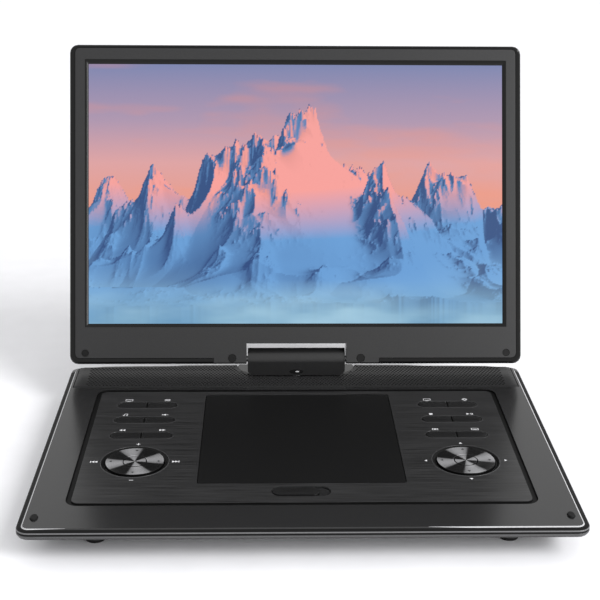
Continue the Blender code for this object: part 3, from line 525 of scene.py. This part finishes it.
def speaker_grille(looks):
    """A strip with real holes: each row of tiles is half a pitch off the last, up to the hinge's seat."""
    shape = bmesh.new()
    front = GRILLE_FRONT + SEAT_GAP
    columns = int(2 * GRILLE_HALF_WIDTH / HOLE_PITCH)
    pitch = 2 * GRILLE_HALF_WIDTH / columns
    rows = int((GRILLE_REAR + GRILLE_BOW - front) / HOLE_ROW_DEPTH) + 1

    def point(x, y):
        y = min(y, grille_rear(x), seat_edge(x))
        return Vector((x, y, grille_height(x, y)))

    for row in range(rows):
        low, high = front + row * HOLE_ROW_DEPTH, front + (row + 1) * HOLE_ROW_DEPTH
        shift = 0.5 * pitch * (row % 2)
        for column in range(-1, columns + 1):
            left = max(-GRILLE_HALF_WIDTH, -GRILLE_HALF_WIDTH + column * pitch + shift)
            right = min(GRILLE_HALF_WIDTH, -GRILLE_HALF_WIDTH + (column + 1) * pitch + shift)
            middle, centre_y = (left + right) / 2, (low + high) / 2
            if right - left < 0.05:
                continue
            corners = [point(left, low), point(right, low), point(right, high), point(left, high)]
            if corners[3].y - corners[0].y < 0.03 and corners[2].y - corners[1].y < 0.03:
                continue
            whole = right - left > 0.9 * pitch and 0 < row
            inside = abs(middle) < GRILLE_HALF_WIDTH - GRILLE_MARGIN
            behind = centre_y < grille_rear(middle) - HOLE_REAR_ROOM
            clear = seat_distance(middle, centre_y, HOLE_SEAT_ROOM) > 1
            if whole and inside and behind and clear:
                tile_with_hole(shape, corners, point(middle, centre_y))
            else:
                face_of(shape, corners)
    bmesh.ops.remove_doubles(shape, verts=shape.verts, dist=0.004)
    rim = [edge for edge in shape.edges if edge.is_boundary and edge_is_outer(edge)]
    wall = bmesh.ops.extrude_edge_only(shape, edges=rim)["geom"]
    for vert in wall:
        if isinstance(vert, bmesh.types.BMVert):
            vert.co.z = GRILLE_FOOT
    return piece("grille_skin", shape, DECK, looks["grille"], "base", ("speaker_grille",), 50)


def face_of(shape, corners):
    """A face through the corners, without the ones that fall together."""
    kept = []
    for corner in corners:
        if not kept or (corner - kept[-1]).length > 0.01:
            kept.append(corner)
    if (kept[0] - kept[-1]).length <= 0.01:
        kept.pop()
    if len(kept) > 2:
        shape.faces.new([shape.verts.new(corner) for corner in kept])


def edge_is_outer(edge):
    """Whether an open edge lies on the strip's outline and not round the foot of a hole."""
    return all(vert.co.z > GRILLE_RIM_LOW for vert in edge.verts)


def tile_with_hole(shape, corners, centre):
    """A tile round an eight-sided hole, whose wall goes straight down."""
    ring = []
    for i in range(4):
        ring += [corners[i], (corners[i] + corners[(i + 1) % 4]) / 2]
    outer = [shape.verts.new(co) for co in ring]
    start = atan2(ring[0].y - centre.y, ring[0].x - centre.x)
    rim, floor = [], []
    for i in range(8):
        angle = start + 2 * pi * i / 8
        x = centre.x + HOLE_RADIUS * cos(angle)
        y = centre.y + HOLE_RADIUS * sin(angle)
        rim.append(shape.verts.new((x, y, centre.z)))
        floor.append(shape.verts.new((x, y, centre.z - HOLE_DEPTH)))
    for i in range(8):
        j = (i + 1) % 8
        shape.faces.new((outer[i], outer[j], rim[j], rim[i]))
        shape.faces.new((rim[i], rim[j], floor[j], floor[i]))


def grille_cloth(looks):
    """The black cloth behind the holes, kept clear of the hinge's seat."""
    shape = bmesh.new()
    steps = 60
    half = GRILLE_HALF_WIDTH - 0.2
    front = GRILLE_FRONT + 0.4
    rows = []
    for i in range(steps + 1):
        x = half * (2 * i / steps - 1)
        rear = min(grille_rear(x) - 0.4, seat_edge(x) - 0.3)
        rows.append([(x, front, -1.5), (x, rear, -1.5), (x, rear, -1.25), (x, front, -1.25)])
    loft(rows, shape)
    return piece("grille_cloth", shape, DECK, looks["cloth"], "base")


def rounded_ring(box, inset, radius, z, corner=8):
    """A rounded rectangle's outline, drawn in by an inset, as points."""
    x0, x1, y0, y1 = box[0] + inset, box[1] - inset, box[2] + inset, box[3] - inset
    r = max(radius - inset, 0.3)
    points = []
    corners = ((x1 - r, y1 - r, 0), (x0 + r, y1 - r, 90), (x0 + r, y0 + r, 180), (x1 - r, y0 + r, 270))
    for cx, cy, start in corners:
        for i in range(corner + 1):
            angle = radians(start + 90 * i / corner)
            points.append((cx + r * cos(angle), cy + r * sin(angle), z))
    return points


def ring_loft(box, radius, profile, shape=None):
    """A frame: a closed profile of (inset, height) swept round a rounded rectangle."""
    rings = [rounded_ring(box, inset, radius, z) for inset, z in [*profile, profile[0]]]
    frame_shape = loft(rings, shape, closed=False)
    bmesh.ops.remove_doubles(frame_shape, verts=frame_shape.verts, dist=0.0005)
    return frame_shape


def groove_painted_shade(looks):
    """Painted shade: a black liner in the channel that runs round the control panel."""
    wide = GROOVE_WIDTH
    profile = [(0.03, -0.12), (0.03, GROOVE_FLOOR + 0.02), (wide - 0.03, GROOVE_FLOOR + 0.02)]
    profile += [(wide - 0.03, -0.3), (wide - 0.15, -0.3), (wide - 0.15, GROOVE_FLOOR + 0.12)]
    profile += [(0.15, GROOVE_FLOOR + 0.12), (0.15, -0.12)]
    piece("groove_painted_shade", ring_loft(POCKET, POCKET_RADIUS, profile), DECK, looks["groove"], "base")


def slot_rims(looks):
    """A thin painted highlight round each key slot, in a grey lighter than the deck."""
    shape = bmesh.new()
    profile = [(-0.38, 0.0), (-0.3, 0.07), (-0.08, 0.06), (0.0, -0.1), (-0.2, -0.12)]
    for side in (-1, 1):
        for y in KEY_ROWS:
            x = side * KEY_SLOT_X
            half_x, half_y = KEY_SLOT_LENGTH / 2, KEY_SLOT_WIDTH / 2
            box = (x - half_x, x + half_x, y - half_y, y + half_y)
            ring_loft(box, half_y, profile, shape)
    piece("slot_rims", shape, DECK, looks["edge"], "base")


def key_cap(looks, node, body):
    """A key with a straight inner end, a round outer end and a rounded top edge."""
    low, high = node_box(node, DECK)
    middle_x = KEY_SLOT_X if high.x > 0 else -KEY_SLOT_X
    inner = low.x if abs(low.x - middle_x) < abs(high.x - middle_x) else high.x
    direction = 1 if inner == low.x else -1
    y = (low.y + high.y) / 2

    def ring(inset, z):
        radius = KEY_HALF_WIDTH - inset
        end = inner + direction * (KEY_LENGTH - KEY_HALF_WIDTH)
        start = inner + direction * inset
        points = [(start, y - radius, z)]
        for i in range(17):
            angle = -pi / 2 + pi * i / 16
            points.append((end + direction * radius * cos(angle), y + radius * sin(angle), z))
        points.append((start, y + radius, z))
        return points

    rings = [ring(0, -2.0), ring(0, KEY_TOP - 0.5), ring(0.5, KEY_TOP - 0.02), ring(0.62, KEY_TOP)]
    made = piece(f"cap_{node}", loft(rings), DECK, looks["key"], body, (node,))
    black_sides(made, looks["groove"])


def dials(looks):
    for side in ("left", "right"):
        low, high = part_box(f"nav_ring_{side}")
        middle = (low + high) / 2
        metal = spun_metal_painted_sheen(f"spun_metal_painted_sheen_{side}", middle)
        centre = DECK.inverted() @ middle
        ring = [(7.75, -3.3), (18.0, -3.3), (18.6, -2.8), (18.6, 0.2), (18.45, 0.38), (18.1, 0.42)]
        ring += [(13.0, 0.28), (9.0, 0.34), (8.1, 0.42), (7.75, 0.2)]
        made = piece(
            f"dial_{side}", tube(centre, ring), DECK, metal, f"dial_{side}", (f"nav_ring_{side}",)
        )
        black_sides(made, looks["black"])
        button = [(6.8, -5.0), (7.2, -4.6), (7.2, 0.15), (7.05, 0.36), (6.7, 0.42), (3.0, 0.34), (0.4, 0.32)]
        made = piece(
            f"centre_{side}_cap",
            lathe(centre, button),
            DECK,
            metal,
            f"centre_{side}",
            (f"ok_button_{side}",),
        )
        black_sides(made, looks["black"])
        # Painted shade: the well round the dial is matte black.
        well = [(18.95, -2.6), (21.4, -2.6), (21.55, 0.02), (21.3, 0.08)]
        well += [(20.9, -0.05), (19.6, -1.2), (18.95, -1.5)]
        piece(f"dial_well_{side}", tube(centre, well), DECK, looks["groove"], "base")
        # Painted highlight: a thin lighter grey rim round the well.
        rim = [(21.45, 0.0), (21.5, 0.1), (21.85, 0.1), (21.95, 0.0)]
        piece(f"dial_rim_{side}", tube(centre, rim), DECK, looks["edge"], "base")
        marks = bmesh.new()
        for turn in range(4):
            angle = turn * pi / 2
            at = (centre.x + DIAL_MARK_REACH * cos(angle), centre.y + DIAL_MARK_REACH * sin(angle))
            add_icon(marks, ICONS["up"], at, angle - pi / 2, 0.40, 1.0)
        piece(f"dial_marks_{side}", marks, DECK, looks["black"], f"dial_{side}")


def black_sides(made, look):
    """Only the faces that look up keep the turned metal."""
    made.data.materials.append(look)
    for face in made.data.polygons:
        if face.normal.z < 0.75:
            face.material_index = 1


def corner_stations(x, y, start):
    """Stations (x, y, inward x, inward y) round a front corner of the base, over a quarter turn."""
    stations = []
    for i in range(7):
        across, along = cos(radians(start + 15 * i)), sin(radians(start + 15 * i))
        stations.append((x + EDGE_RADIUS * across, y + EDGE_RADIUS * along, -across, -along))
    return stations


def edge_path(first=None, last=None):
    """Stations round the base by its front, or only from a place along the front, or only up to one."""
    low, high = node_box("base_top_deck", DECK)
    left, right, y = low.x + EDGE_RADIUS, high.x - EDGE_RADIUS, low.y + EDGE_RADIUS
    path = []
    if first is None:
        path += [(low.x, EDGE_REAR, 1.0, 0.0), *corner_stations(left, y, 180)]
    start = left if first is None else first
    end = right if last is None else last
    for i in range(1 if first is None else 0, 8 if last is None else 9):
        path.append((start + (end - start) * i / 8, low.y, 0.0, 1.0))
    if last is None:
        path += [*corner_stations(right, y, 270), (high.x, EDGE_REAR, -1.0, 0.0)]
    return path


def sweep(path, profile):
    """A bar along the base's edge, from a closed profile of (inset, height)."""
    return loft([[(x + nx * inset, y + ny * inset, z) for inset, z in profile] for x, y, nx, ny in path])


def edge_lines(looks):
    """The lines along the base's edge, all painted light: a bright painted highlight on the bevel, a black
    painted shade down the step, then two grey painted highlights on ridges.
    """
    profile = [(3.75, 0.03), (3.0, -0.44), (3.0, -0.6), (3.75, -0.12)]
    left, right = EDGE_TIPS
    for name, path, tip in (("left", edge_path(last=left), left), ("right", edge_path(first=right), right)):
        rings = []
        for x, y, nx, ny in path:
            # The bright painted highlight narrows to a point where it thins out along the front.
            share = min(1.0, 0.12 + abs(x - tip) / EDGE_TIP_LENGTH) if ny > 0.999 else 1.0
            ring = []
            for inset, z in profile:
                inset = EDGE_TIP_INSET + share * (inset - EDGE_TIP_INSET)
                ring.append((x + nx * inset, y + ny * inset, share * z))
            rings.append(ring)
        piece(f"edge_line_{name}", loft(rings), DECK, looks["painted_glint"], "base")
    # Painted shade: a black band laid over the deck's bevel and front face, down to the parting line.
    step = [(2.9, -0.48), (1.15, -0.85), (0.24, -1.16), (-0.06, -1.8), (-0.06, -2.66)]
    step += [(0.3, -2.6), (0.4, -1.9), (1.3, -1.2), (2.9, -0.75)]
    piece("edge_step", sweep(edge_path(), step), DECK, looks["groove"], "base")
    # Painted highlight: a lighter grey strip on the ridge under the bevel.
    ridge = [(0.3, -1.1), (0.08, -1.14), (-0.12, -1.55), (-0.12, -1.8), (0.1, -1.8), (0.3, -1.4)]
    piece("edge_ridge", sweep(edge_path(), ridge), DECK, looks["ridge"], "base")
    # Painted highlight: a grey strip along the lower shell's lip.
    lip = [(0.1, -3.2), (-0.1, -3.4), (-0.1, -4.2), (0.1, -4.4)]
    piece("edge_lip", sweep(edge_path(), lip), DECK, looks["edge"], "base")


def oval(centre, half_x, half_z, y, sides=28):
    turns = [2 * pi * i / sides for i in range(sides)]
    return [(centre[0] + half_x * cos(turn), y, centre[1] + half_z * sin(turn)) for turn in turns]


def hinge_dark_oval(looks):
    """A dark oval low on the hinge block's front, with a small painted highlight, a bright spot, in it."""
    low, high = node_box("hinge_block", DECK)
    for name, centre, half_x, half_z, lift, look in (
        ("hinge_dark_oval", (0.0, 4.6), 5.2, 1.8, 0.05, "groove"),
        # Painted highlight: the bright spot is a glint laid on as a light grey oval.
        ("hinge_glint", (0.7, 4.6), 1.4, 0.5, 0.14, "painted_glint"),
    ):
        rings = [oval(centre, half_x, half_z, low.y + 0.1), oval(centre, half_x, half_z, low.y - 0.5 * lift)]
        rings.append(oval(centre, half_x - 0.15, half_z - 0.15, low.y - lift))
        piece(name, loft(rings), DECK, looks[look], "swivel")


def pickup_lens(looks):
    """The clear lens in the sled's barrel."""
    low, high = node_box("pickup_sled", DECK)
    top = high.z
    profile = [(3.2, top - 0.95), (3.2, top - 0.6), (2.6, top - 0.25), (1.6, top - 0.05), (0.4, top)]
    centre = (0.0, (low.y + high.y) / 2)
    piece("pickup_lens", lathe(centre, profile, 40), DECK, looks["lens"], "sled")


def socket_contacts(looks):
    """Four gold contacts under the roof of the USB socket."""
    low, high = node_box("av_socket_block", DECK)
    roof = (low.z + high.z) / 2 + 2.2
    shape = bmesh.new()
    for along in CONTACT_PLACES:
        y0, y1 = low.y + along - 0.5, low.y + along + 0.5
        x0, x1 = high.x - 8.0, high.x - 1.6
        rings = [[(x0, y0, z), (x1, y0, z), (x1, y1, z), (x0, y1, z)] for z in (roof - 0.12, roof + 0.02)]
        loft(rings, shape)
    piece("socket_contacts", shape, DECK, looks["brass"], "base")


def underside_screws(looks):
    """Six cross-headed screws that hold the base's two mouldings together."""
    low, high = node_box("base_bottom_shell", DECK)
    heads, slots = bmesh.new(), bmesh.new()
    for x in (-1, 0, 1):
        for y in (low.y + SCREW_FRONT, high.y - SCREW_REAR):
            centre = (x * SCREW_SPREAD * (high.x - low.x), y)
            z = low.z
            profile = [(1.7, z - 0.18), (2.3, z - 0.12), (2.5, z), (2.5, z + 0.1)]
            loft([circle(centre, radius, height, 28) for radius, height in profile], heads)
            # Painted shade: each cross recess is drawn as a black cross on the head.
            for long_x, long_y in ((1.3, 0.22), (0.22, 1.3)):
                corners = ((-long_x, -long_y), (long_x, -long_y), (long_x, long_y), (-long_x, long_y))
                flat = [(centre[0] + a, y + b) for a, b in corners]
                loft([[(*at, height) for at in flat] for height in (z - 0.2, z - 0.1)], slots)
    piece("underside_screws", heads, DECK, looks["steel"], "base")
    piece("underside_screw_slots_painted_shade", slots, DECK, looks["black"], "base")


# ---------------------------------------------------------------- icons


def bar(x, y, width, height):
    left, right, low, high = x - width / 2, x + width / 2, y - height / 2, y + height / 2
    return [[(left, low), (right, low), (right, high), (left, high)]]


def triangle(x, direction, size=1.1):
    reach = direction * size * 0.8
    return [[(x - reach, -size), (x + reach, 0), (x - reach, size)]]


def outline(width, height, line=0.32):
    half_w, half_h = width / 2, height / 2
    return (
        bar(0, half_h, width + line, line)
        + bar(0, -half_h, width + line, line)
        + bar(-half_w, 0, line, height - line)
        + bar(half_w, 0, line, height - line)
    )


ICONS = {
    "screen": outline(4.2, 2.2) + bar(0, -1.9, 2.0, 0.3),
    "menu": bar(0, 0.9, 3.4, 0.36) + bar(0, 0, 3.4, 0.36) + bar(0, -0.9, 3.4, 0.36),
    "note": bar(-0.8, 0.2, 0.36, 2.2) + bar(1.0, 0.2, 0.36, 2.2) + bar(0.1, 1.2, 2.0, 0.4)
    + bar(-1.2, -0.9, 1.0, 0.7) + bar(0.6, -0.9, 1.0, 0.7),
    "mute": bar(-1.4, 0, 0.8, 1.0) + triangle(-0.4, -1, 1.1) + bar(1.2, 0, 1.6, 0.36),
    "back": triangle(-0.9, -1) + triangle(0.9, -1),
    "forward": triangle(-0.9, 1) + triangle(0.9, 1),
    "stop": bar(0, 0, 2.0, 2.0),
    "play": triangle(-1.0, 1) + bar(0.9, 0, 0.45, 2.1) + bar(1.8, 0, 0.45, 2.1),
    "gear": outline(1.8, 1.8, 0.45) + bar(0, 1.5, 0.6, 0.5) + bar(0, -1.5, 0.6, 0.5)
    + bar(1.5, 0, 0.5, 0.6) + bar(-1.5, 0, 0.5, 0.6),
    "repeat": outline(3.2, 1.6, 0.34) + triangle(0.2, 1, 0.8),
    "caption": outline(4.0, 2.2) + bar(0, -0.5, 2.4, 0.34),
    "plus": bar(0, 0, 2.2, 0.45) + bar(0, 0.72, 0.45, 0.98) + bar(0, -0.72, 0.45, 0.98),
    "minus": bar(0, 0, 2.2, 0.45),
    "previous": bar(-2.0, 0, 0.45, 2.1) + triangle(-0.8, -1) + triangle(0.9, -1),
    "next": triangle(-0.9, 1) + triangle(0.8, 1) + bar(2.0, 0, 0.45, 2.1),
    "up": [[(-1.0, -0.7), (1.0, -0.7), (0.0, 0.9)]],
    "down": [[(1.0, 0.7), (-1.0, 0.7), (0.0, -0.9)]],
    "left": triangle(0, -1, 0.95),
    "right": triangle(0, 1, 0.95),
}
KEY_ICONS = {
    "left": ("screen", "menu", "note", "mute", "back", "forward"),
    "right": ("screen", "gear", "stop", "play", "repeat", "caption"),
}
DIAL_ICONS = {"left": ("next", "plus", "previous", "minus"), "right": ("right", "up", "left", "down")}


def add_icon(shape, polygons, at, turn=0.0, base=0.0, size=ICON_SCALE):
    """Each polygon becomes a thin printed layer that stands a little above its surface."""
    for polygon in polygons:
        points = [
            (at[0] + size * (x * cos(turn) - y * sin(turn)), at[1] + size * (x * sin(turn) + y * cos(turn)))
            for x, y in polygon
        ]
        rings = [[(x, y, base - 0.02) for x, y in points], [(x, y, base + ICON_LIFT) for x, y in points]]
        loft(rings, shape)


def panel_icons(looks):
    shape = bmesh.new()
    for column in ("left", "right"):
        slots = [f"{row}{half}" for row in (1, 2, 3) for half in "ab"]
        for slot, icon in zip(slots, KEY_ICONS[column]):
            low, high = node_box(f"key_{column}_{slot}", DECK)
            x, y = (low.x + high.x) / 2, (low.y + high.y) / 2
            slot_x = KEY_SLOT_X if x > 0 else -KEY_SLOT_X
            x += ICON_SPREAD if x > slot_x else -ICON_SPREAD
            add_icon(shape, ICONS[icon], (x, y + KEY_ICON_RISE))
        low, high = node_box(f"nav_ring_{column}", DECK)
        x, y = (low.x + high.x) / 2, (low.y + high.y) / 2
        for turn, icon in enumerate(DIAL_ICONS[column]):
            reach = DIAL_ICON_REACH[turn % 2]
            add_icon(shape, ICONS[icon], (x + reach * cos(turn * pi / 2), y + reach * sin(turn * pi / 2)))
    return piece("panel_icons", shape, DECK, looks["icon"], "base")


# ---------------------------------------------------------------- lid


def screen_surround(looks):
    """The black slope from the bezel's window in to the picture."""

    def ring(left, right, bottom, top, y):
        return [(left, y, bottom), (right, y, bottom), (right, y, top), (left, y, top)]

    x0, x1, z0, z1 = WINDOW
    a0, a1, c0, c1 = ACTIVE
    inset = 0.06
    rings = [
        ring(x0 + inset, x1 - inset, z0 + inset, z1 - inset, PANEL_FRONT - 0.05),
        ring(x0 + inset, x1 - inset, z0 + inset, z1 - inset, BEZEL_FRONT + 0.05),
        ring(x0 + 0.8, x1 - 0.8, z0 + 0.8, z1 - 0.8, BEZEL_FRONT + 0.2),
        ring(a0, a1, c0, c1, PANEL_FRONT - 0.25),
        ring(a0, a1, c0, c1, PANEL_FRONT - 0.05),
    ]
    shape = loft([*rings, rings[0]], closed=False)
    bmesh.ops.remove_doubles(shape, verts=shape.verts, dist=0.0001)
    return piece("screen_surround", shape, LID, looks["black"], "lid")


def lattice_noise(rng, x, z, cells):
    """Smooth value noise from 0 to 1 at points given in cells."""
    grid = rng.random((cells + 2, cells + 2))
    gx, gz = np.clip(x, 0, 0.9999) * cells, np.clip(z, 0, 0.9999) * cells
    i, j = gx.astype(int), gz.astype(int)
    fx, fz = gx - i, gz - j
    fx, fz = fx * fx * (3 - 2 * fx), fz * fz * (3 - 2 * fz)
    near = grid[i, j] * (1 - fx) + grid[i + 1, j] * fx
    far = grid[i, j + 1] * (1 - fx) + grid[i + 1, j + 1] * fx
    return near * (1 - fz) + far * fz


def ridges(rng, x, z, first, octaves):
    """Sharp-crested noise: each finer layer is strongest on the crests of the last."""
    total, weight, gain, reach = np.zeros_like(x), np.ones_like(x), 0.5, 0.0
    for octave in range(octaves):
        crest = 1 - np.abs(2 * lattice_noise(rng, x, z, first * 2**octave) - 1)
        crest = crest * crest * weight
        weight = np.clip(crest * 1.8, 0, 1)
        total += crest * gain
        reach += gain
        gain *= 0.52
    return total / reach


def terrain(rng, size):
    """Heights over a square: one high peak behind a lower range, over open ground."""
    x, z = np.meshgrid(np.linspace(0, 1, size), np.linspace(0, 1, size), indexing="ij")
    bend = lattice_noise(rng, x, z, 5) - 0.5
    wx, wz = np.clip(x + 0.05 * bend, 0, 1), np.clip(z - 0.05 * bend, 0, 1)
    rough = ridges(rng, wx, wz, 7, 7)
    height = 0.10 * rough
    peaks = (
        (0.50, 0.50, 0.30, 0.80),
        (0.385, 0.46, 0.20, 0.50),
        (0.62, 0.46, 0.20, 0.46),
        (0.27, 0.52, 0.19, 0.40),
        (0.14, 0.60, 0.16, 0.34),
        (0.78, 0.62, 0.17, 0.42),
        (0.90, 0.58, 0.15, 0.34),
        (0.44, 0.30, 0.13, 0.20),
        (0.60, 0.28, 0.12, 0.17),
    )
    for px, pz, spread, rise in peaks:
        away = np.sqrt((wx - px) ** 2 + (0.9 * (wz - pz)) ** 2) / spread
        cone = np.clip(1 - away, 0, 1) ** 1.1
        height = np.maximum(height, rise * cone * (0.55 + 0.75 * rough) + 0.05 * rough)
    return height


def mountain_colours(height, size):
    """Snow that is pink where low light reaches it and blue where it doesn't."""
    slope_x, slope_z = np.gradient(height * size * 0.80)
    norm = np.sqrt(slope_x**2 + slope_z**2 + 1)
    sun = np.array((0.72, 0.48, -0.50))
    sun /= np.linalg.norm(sun)
    facing = (-slope_x * sun[0] + sun[1] - slope_z * sun[2]) / norm
    lit = np.clip((facing - 0.40) * 3.6, 0, 1) * np.clip((height - 0.20) / 0.16, 0, 1)
    shade = np.clip(0.15 + 0.95 * facing, 0, 1)[..., None]
    blue = np.array((0.012, 0.050, 0.19)) * (1 - shade) + np.array((0.13, 0.33, 0.66)) * shade
    pink = np.array((0.95, 0.34, 0.30)) * (0.3 + 0.7 * shade)
    lit = lit[..., None]
    return blue * (1 - lit) + pink * lit


def sky_colours(rng, columns, rows):
    u, v = np.meshgrid(np.linspace(0, 1, columns), np.linspace(0, 1, rows), indexing="ij")
    stops = (0.0, 0.45, 0.62, 0.78, 1.0)
    tints = ((0.60, 0.22, 0.20), (0.80, 0.32, 0.24), (0.72, 0.36, 0.36))
    tints += ((0.42, 0.30, 0.42), (0.20, 0.23, 0.42))
    sky = np.stack([np.interp(v, stops, [tint[c] for tint in tints]) for c in range(3)], axis=-1)
    streaks = np.zeros_like(u)
    for octave, cells in enumerate((6, 12, 24, 48)):
        streaks += 0.5**octave * lattice_noise(rng, u * 0.35, np.clip(v * 1.0 + 0.02 * u, 0, 1), cells * 2)
    streaks = np.clip((streaks / 1.9 - 0.52) * 4, 0, 1)
    low_left = np.clip(1 - np.abs(v - 0.60) / 0.10, 0, 1) * np.clip(1 - u / 0.30, 0, 1)
    cloud = (streaks * (0.25 + low_left))[..., None]
    return sky * (1 - 0.75 * cloud) + 0.75 * cloud * np.array((1.0, 0.28, 0.09))


def landscape(columns, rows):
    """A made-up range at sunrise, drawn from the nearest ground to the farthest."""
    rng = np.random.default_rng(11)
    size = 1024
    height = terrain(rng, size)
    colour = mountain_colours(height, size)
    image = sky_colours(rng, columns, rows)
    skyline = np.zeros(columns)
    pixel_rows = (np.arange(rows) + 0.5) / rows
    across = np.linspace(-0.5, 0.5, columns)
    haze = np.array((0.36, 0.62, 0.82))
    for depth in np.linspace(0.12, 0.98, 620):
        x = np.clip(0.5 + across * (0.42 + 0.62 * depth), 0, 0.999) * size
        i, j = x.astype(int), int(depth * size)
        ground = height[i, j]
        top = 0.02 + 0.30 * depth + ground * (1.10 - 0.20 * depth)
        drawn = (pixel_rows[None, :] >= skyline[:, None]) & (pixel_rows[None, :] < top[:, None])
        tint = colour[i, j]
        mist = np.clip(1 - ground / 0.12, 0, 1) ** 1.6 * (0.2 + 0.5 * depth)
        mist = np.clip(mist + 0.10 * depth, 0, 0.9)[:, None]
        tint = tint * (1 - mist) + haze * mist
        image = np.where(drawn[..., None], tint[:, None, :], image)
        skyline = np.maximum(skyline, top)
    u, v = np.meshgrid(np.linspace(0, 1, columns), pixel_rows, indexing="ij")
    banks = np.zeros_like(u)
    for octave, cells in enumerate((8, 16, 32, 64)):
        banks += 0.5**octave * lattice_noise(rng, u * 0.6, np.clip(v * 1.3, 0, 1), cells)
    banks = np.clip(banks / 1.9, 0, 1)
    low = np.clip(1 - v / 0.17, 0, 1)
    fog = np.clip(low * 1.2 * (0.35 + banks), 0, 0.92)[..., None]
    share = banks[..., None]
    fog_tint = np.array((0.07, 0.24, 0.42)) * (1 - share) + np.array((0.42, 0.66, 0.80)) * share
    return np.clip(image * (1 - fog) + fog_tint * fog, 0, 1)


def screen_picture(looks):
    """The lit picture, as a fine grid with a colour at each point."""
    columns, rows = PICTURE_COLUMNS, PICTURE_ROWS
    colours = landscape(columns, rows)
    left, right, bottom, top = ACTIVE
    xs = np.linspace(left, right, columns)
    zs = np.linspace(bottom, top, rows)
    x, z = np.meshgrid(xs, zs, indexing="ij")
    points = np.stack([x, np.full_like(x, PANEL_FRONT - 0.12), z], axis=-1).reshape(-1, 3)
    corner = (np.arange(columns - 1)[:, None] * rows + np.arange(rows - 1)[None, :]).ravel()
    faces = np.stack([corner, corner + rows, corner + rows + 1, corner + 1], axis=-1)
    mesh = bpy.data.meshes.new("screen_picture")
    mesh.from_pydata(points.tolist(), [], faces.tolist())
    mesh.transform(LID)
    layer = mesh.color_attributes.new("picture", "FLOAT_COLOR", "POINT")
    rgba = np.concatenate([colours.reshape(-1, 3), np.ones((columns * rows, 1))], axis=1)
    layer.data.foreach_set("color", rgba.astype(np.float32).ravel())
    mesh.materials.append(looks["screen"])
    made = bpy.data.objects.new("screen_picture", mesh)
    bpy.context.scene.collection.objects.link(made)
    made.visible_glossy = False
    made.visible_diffuse = False
    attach(made, "lid")


# ---------------------------------------------------------------- stage


def camera():
    data = bpy.data.cameras.new("camera")
    data.lens = CAMERA_LENS
    data.sensor_width = CAMERA_SENSOR
    data.clip_start, data.clip_end = 0.01, 50
    made = bpy.data.objects.new("camera", data)
    bpy.context.scene.collection.objects.link(made)
    forward = Vector(
        (sin(CAMERA_YAW) * cos(CAMERA_PITCH), cos(CAMERA_YAW) * cos(CAMERA_PITCH), -sin(CAMERA_PITCH))
    )
    level = Vector((cos(CAMERA_YAW), -sin(CAMERA_YAW), 0))
    down = forward.cross(level)
    right = cos(CAMERA_ROLL) * level + sin(CAMERA_ROLL) * down
    up = sin(CAMERA_ROLL) * level - cos(CAMERA_ROLL) * down
    turn = Matrix((right, up, -forward)).transposed()
    made.matrix_world = Matrix.Translation(CAMERA_AT) @ turn.to_4x4()
    bpy.context.scene.camera = made


def area_light(name, at, aim, size, power):
    data = bpy.data.lights.new(name, "AREA")
    data.shape = "RECTANGLE"
    data.size, data.size_y = size
    data.energy = power
    made = bpy.data.objects.new(name, data)
    bpy.context.scene.collection.objects.link(made)
    made.location = at
    made.rotation_mode = "QUATERNION"
    made.rotation_quaternion = (Vector(aim) - Vector(at)).to_track_quat("-Z", "Y")


def stage():
    world = bpy.data.worlds.new("studio")
    world.use_nodes = True
    nodes = world.node_tree.nodes
    nodes["Background"].inputs["Color"].default_value = (1.0, 1.0, 1.0, 1.0)
    nodes["Background"].inputs["Strength"].default_value = WORLD_LIGHT
    bpy.context.scene.world = world
    bpy.context.scene.view_settings.view_transform = "Standard"
    shape = bmesh.new()
    bmesh.ops.create_grid(shape, x_segments=1, y_segments=1, size=FLOOR_SIZE)
    mesh = bpy.data.meshes.new("floor")
    shape.to_mesh(mesh)
    shape.free()
    floor = bpy.data.objects.new("floor", mesh)
    bpy.context.scene.collection.objects.link(floor)
    mesh.materials.append(surface("floor_white", grey(0.90), grey(0.93), (0.5, 0.6), 40.0, bump=0.0))
    sun = bpy.data.lights.new("sun", "SUN")
    sun.energy = SUN_STRENGTH
    sun.angle = SUN_ANGLE
    made = bpy.data.objects.new("sun", sun)
    bpy.context.scene.collection.objects.link(made)
    made.rotation_mode = "QUATERNION"
    made.rotation_quaternion = Vector(SUN_DIRECTION).to_track_quat("-Z", "Y")
    area_light("side_right", SIDE_LIGHT_AT, SIDE_LIGHT_AIM, SIDE_LIGHT_SIZE, SIDE_LIGHT_POWER)


def main():
    looks = make_looks()
    camera()
    dress_nodes(looks)
    speaker_grille(looks)
    grille_cloth(looks)
    groove_painted_shade(looks)
    slot_rims(looks)
    for column in ("left", "right"):
        for slot in ("1a", "1b", "2a", "2b", "3a", "3b"):
            node = f"key_{column}_{slot}"
            key_cap(looks, node, f"{node}_cap")
    dials(looks)
    panel_icons(looks)
    edge_lines(looks)
    hinge_dark_oval(looks)
    pickup_lens(looks)
    socket_contacts(looks)
    underside_screws(looks)
    screen_surround(looks)
    screen_picture(looks)
    stage()


main()
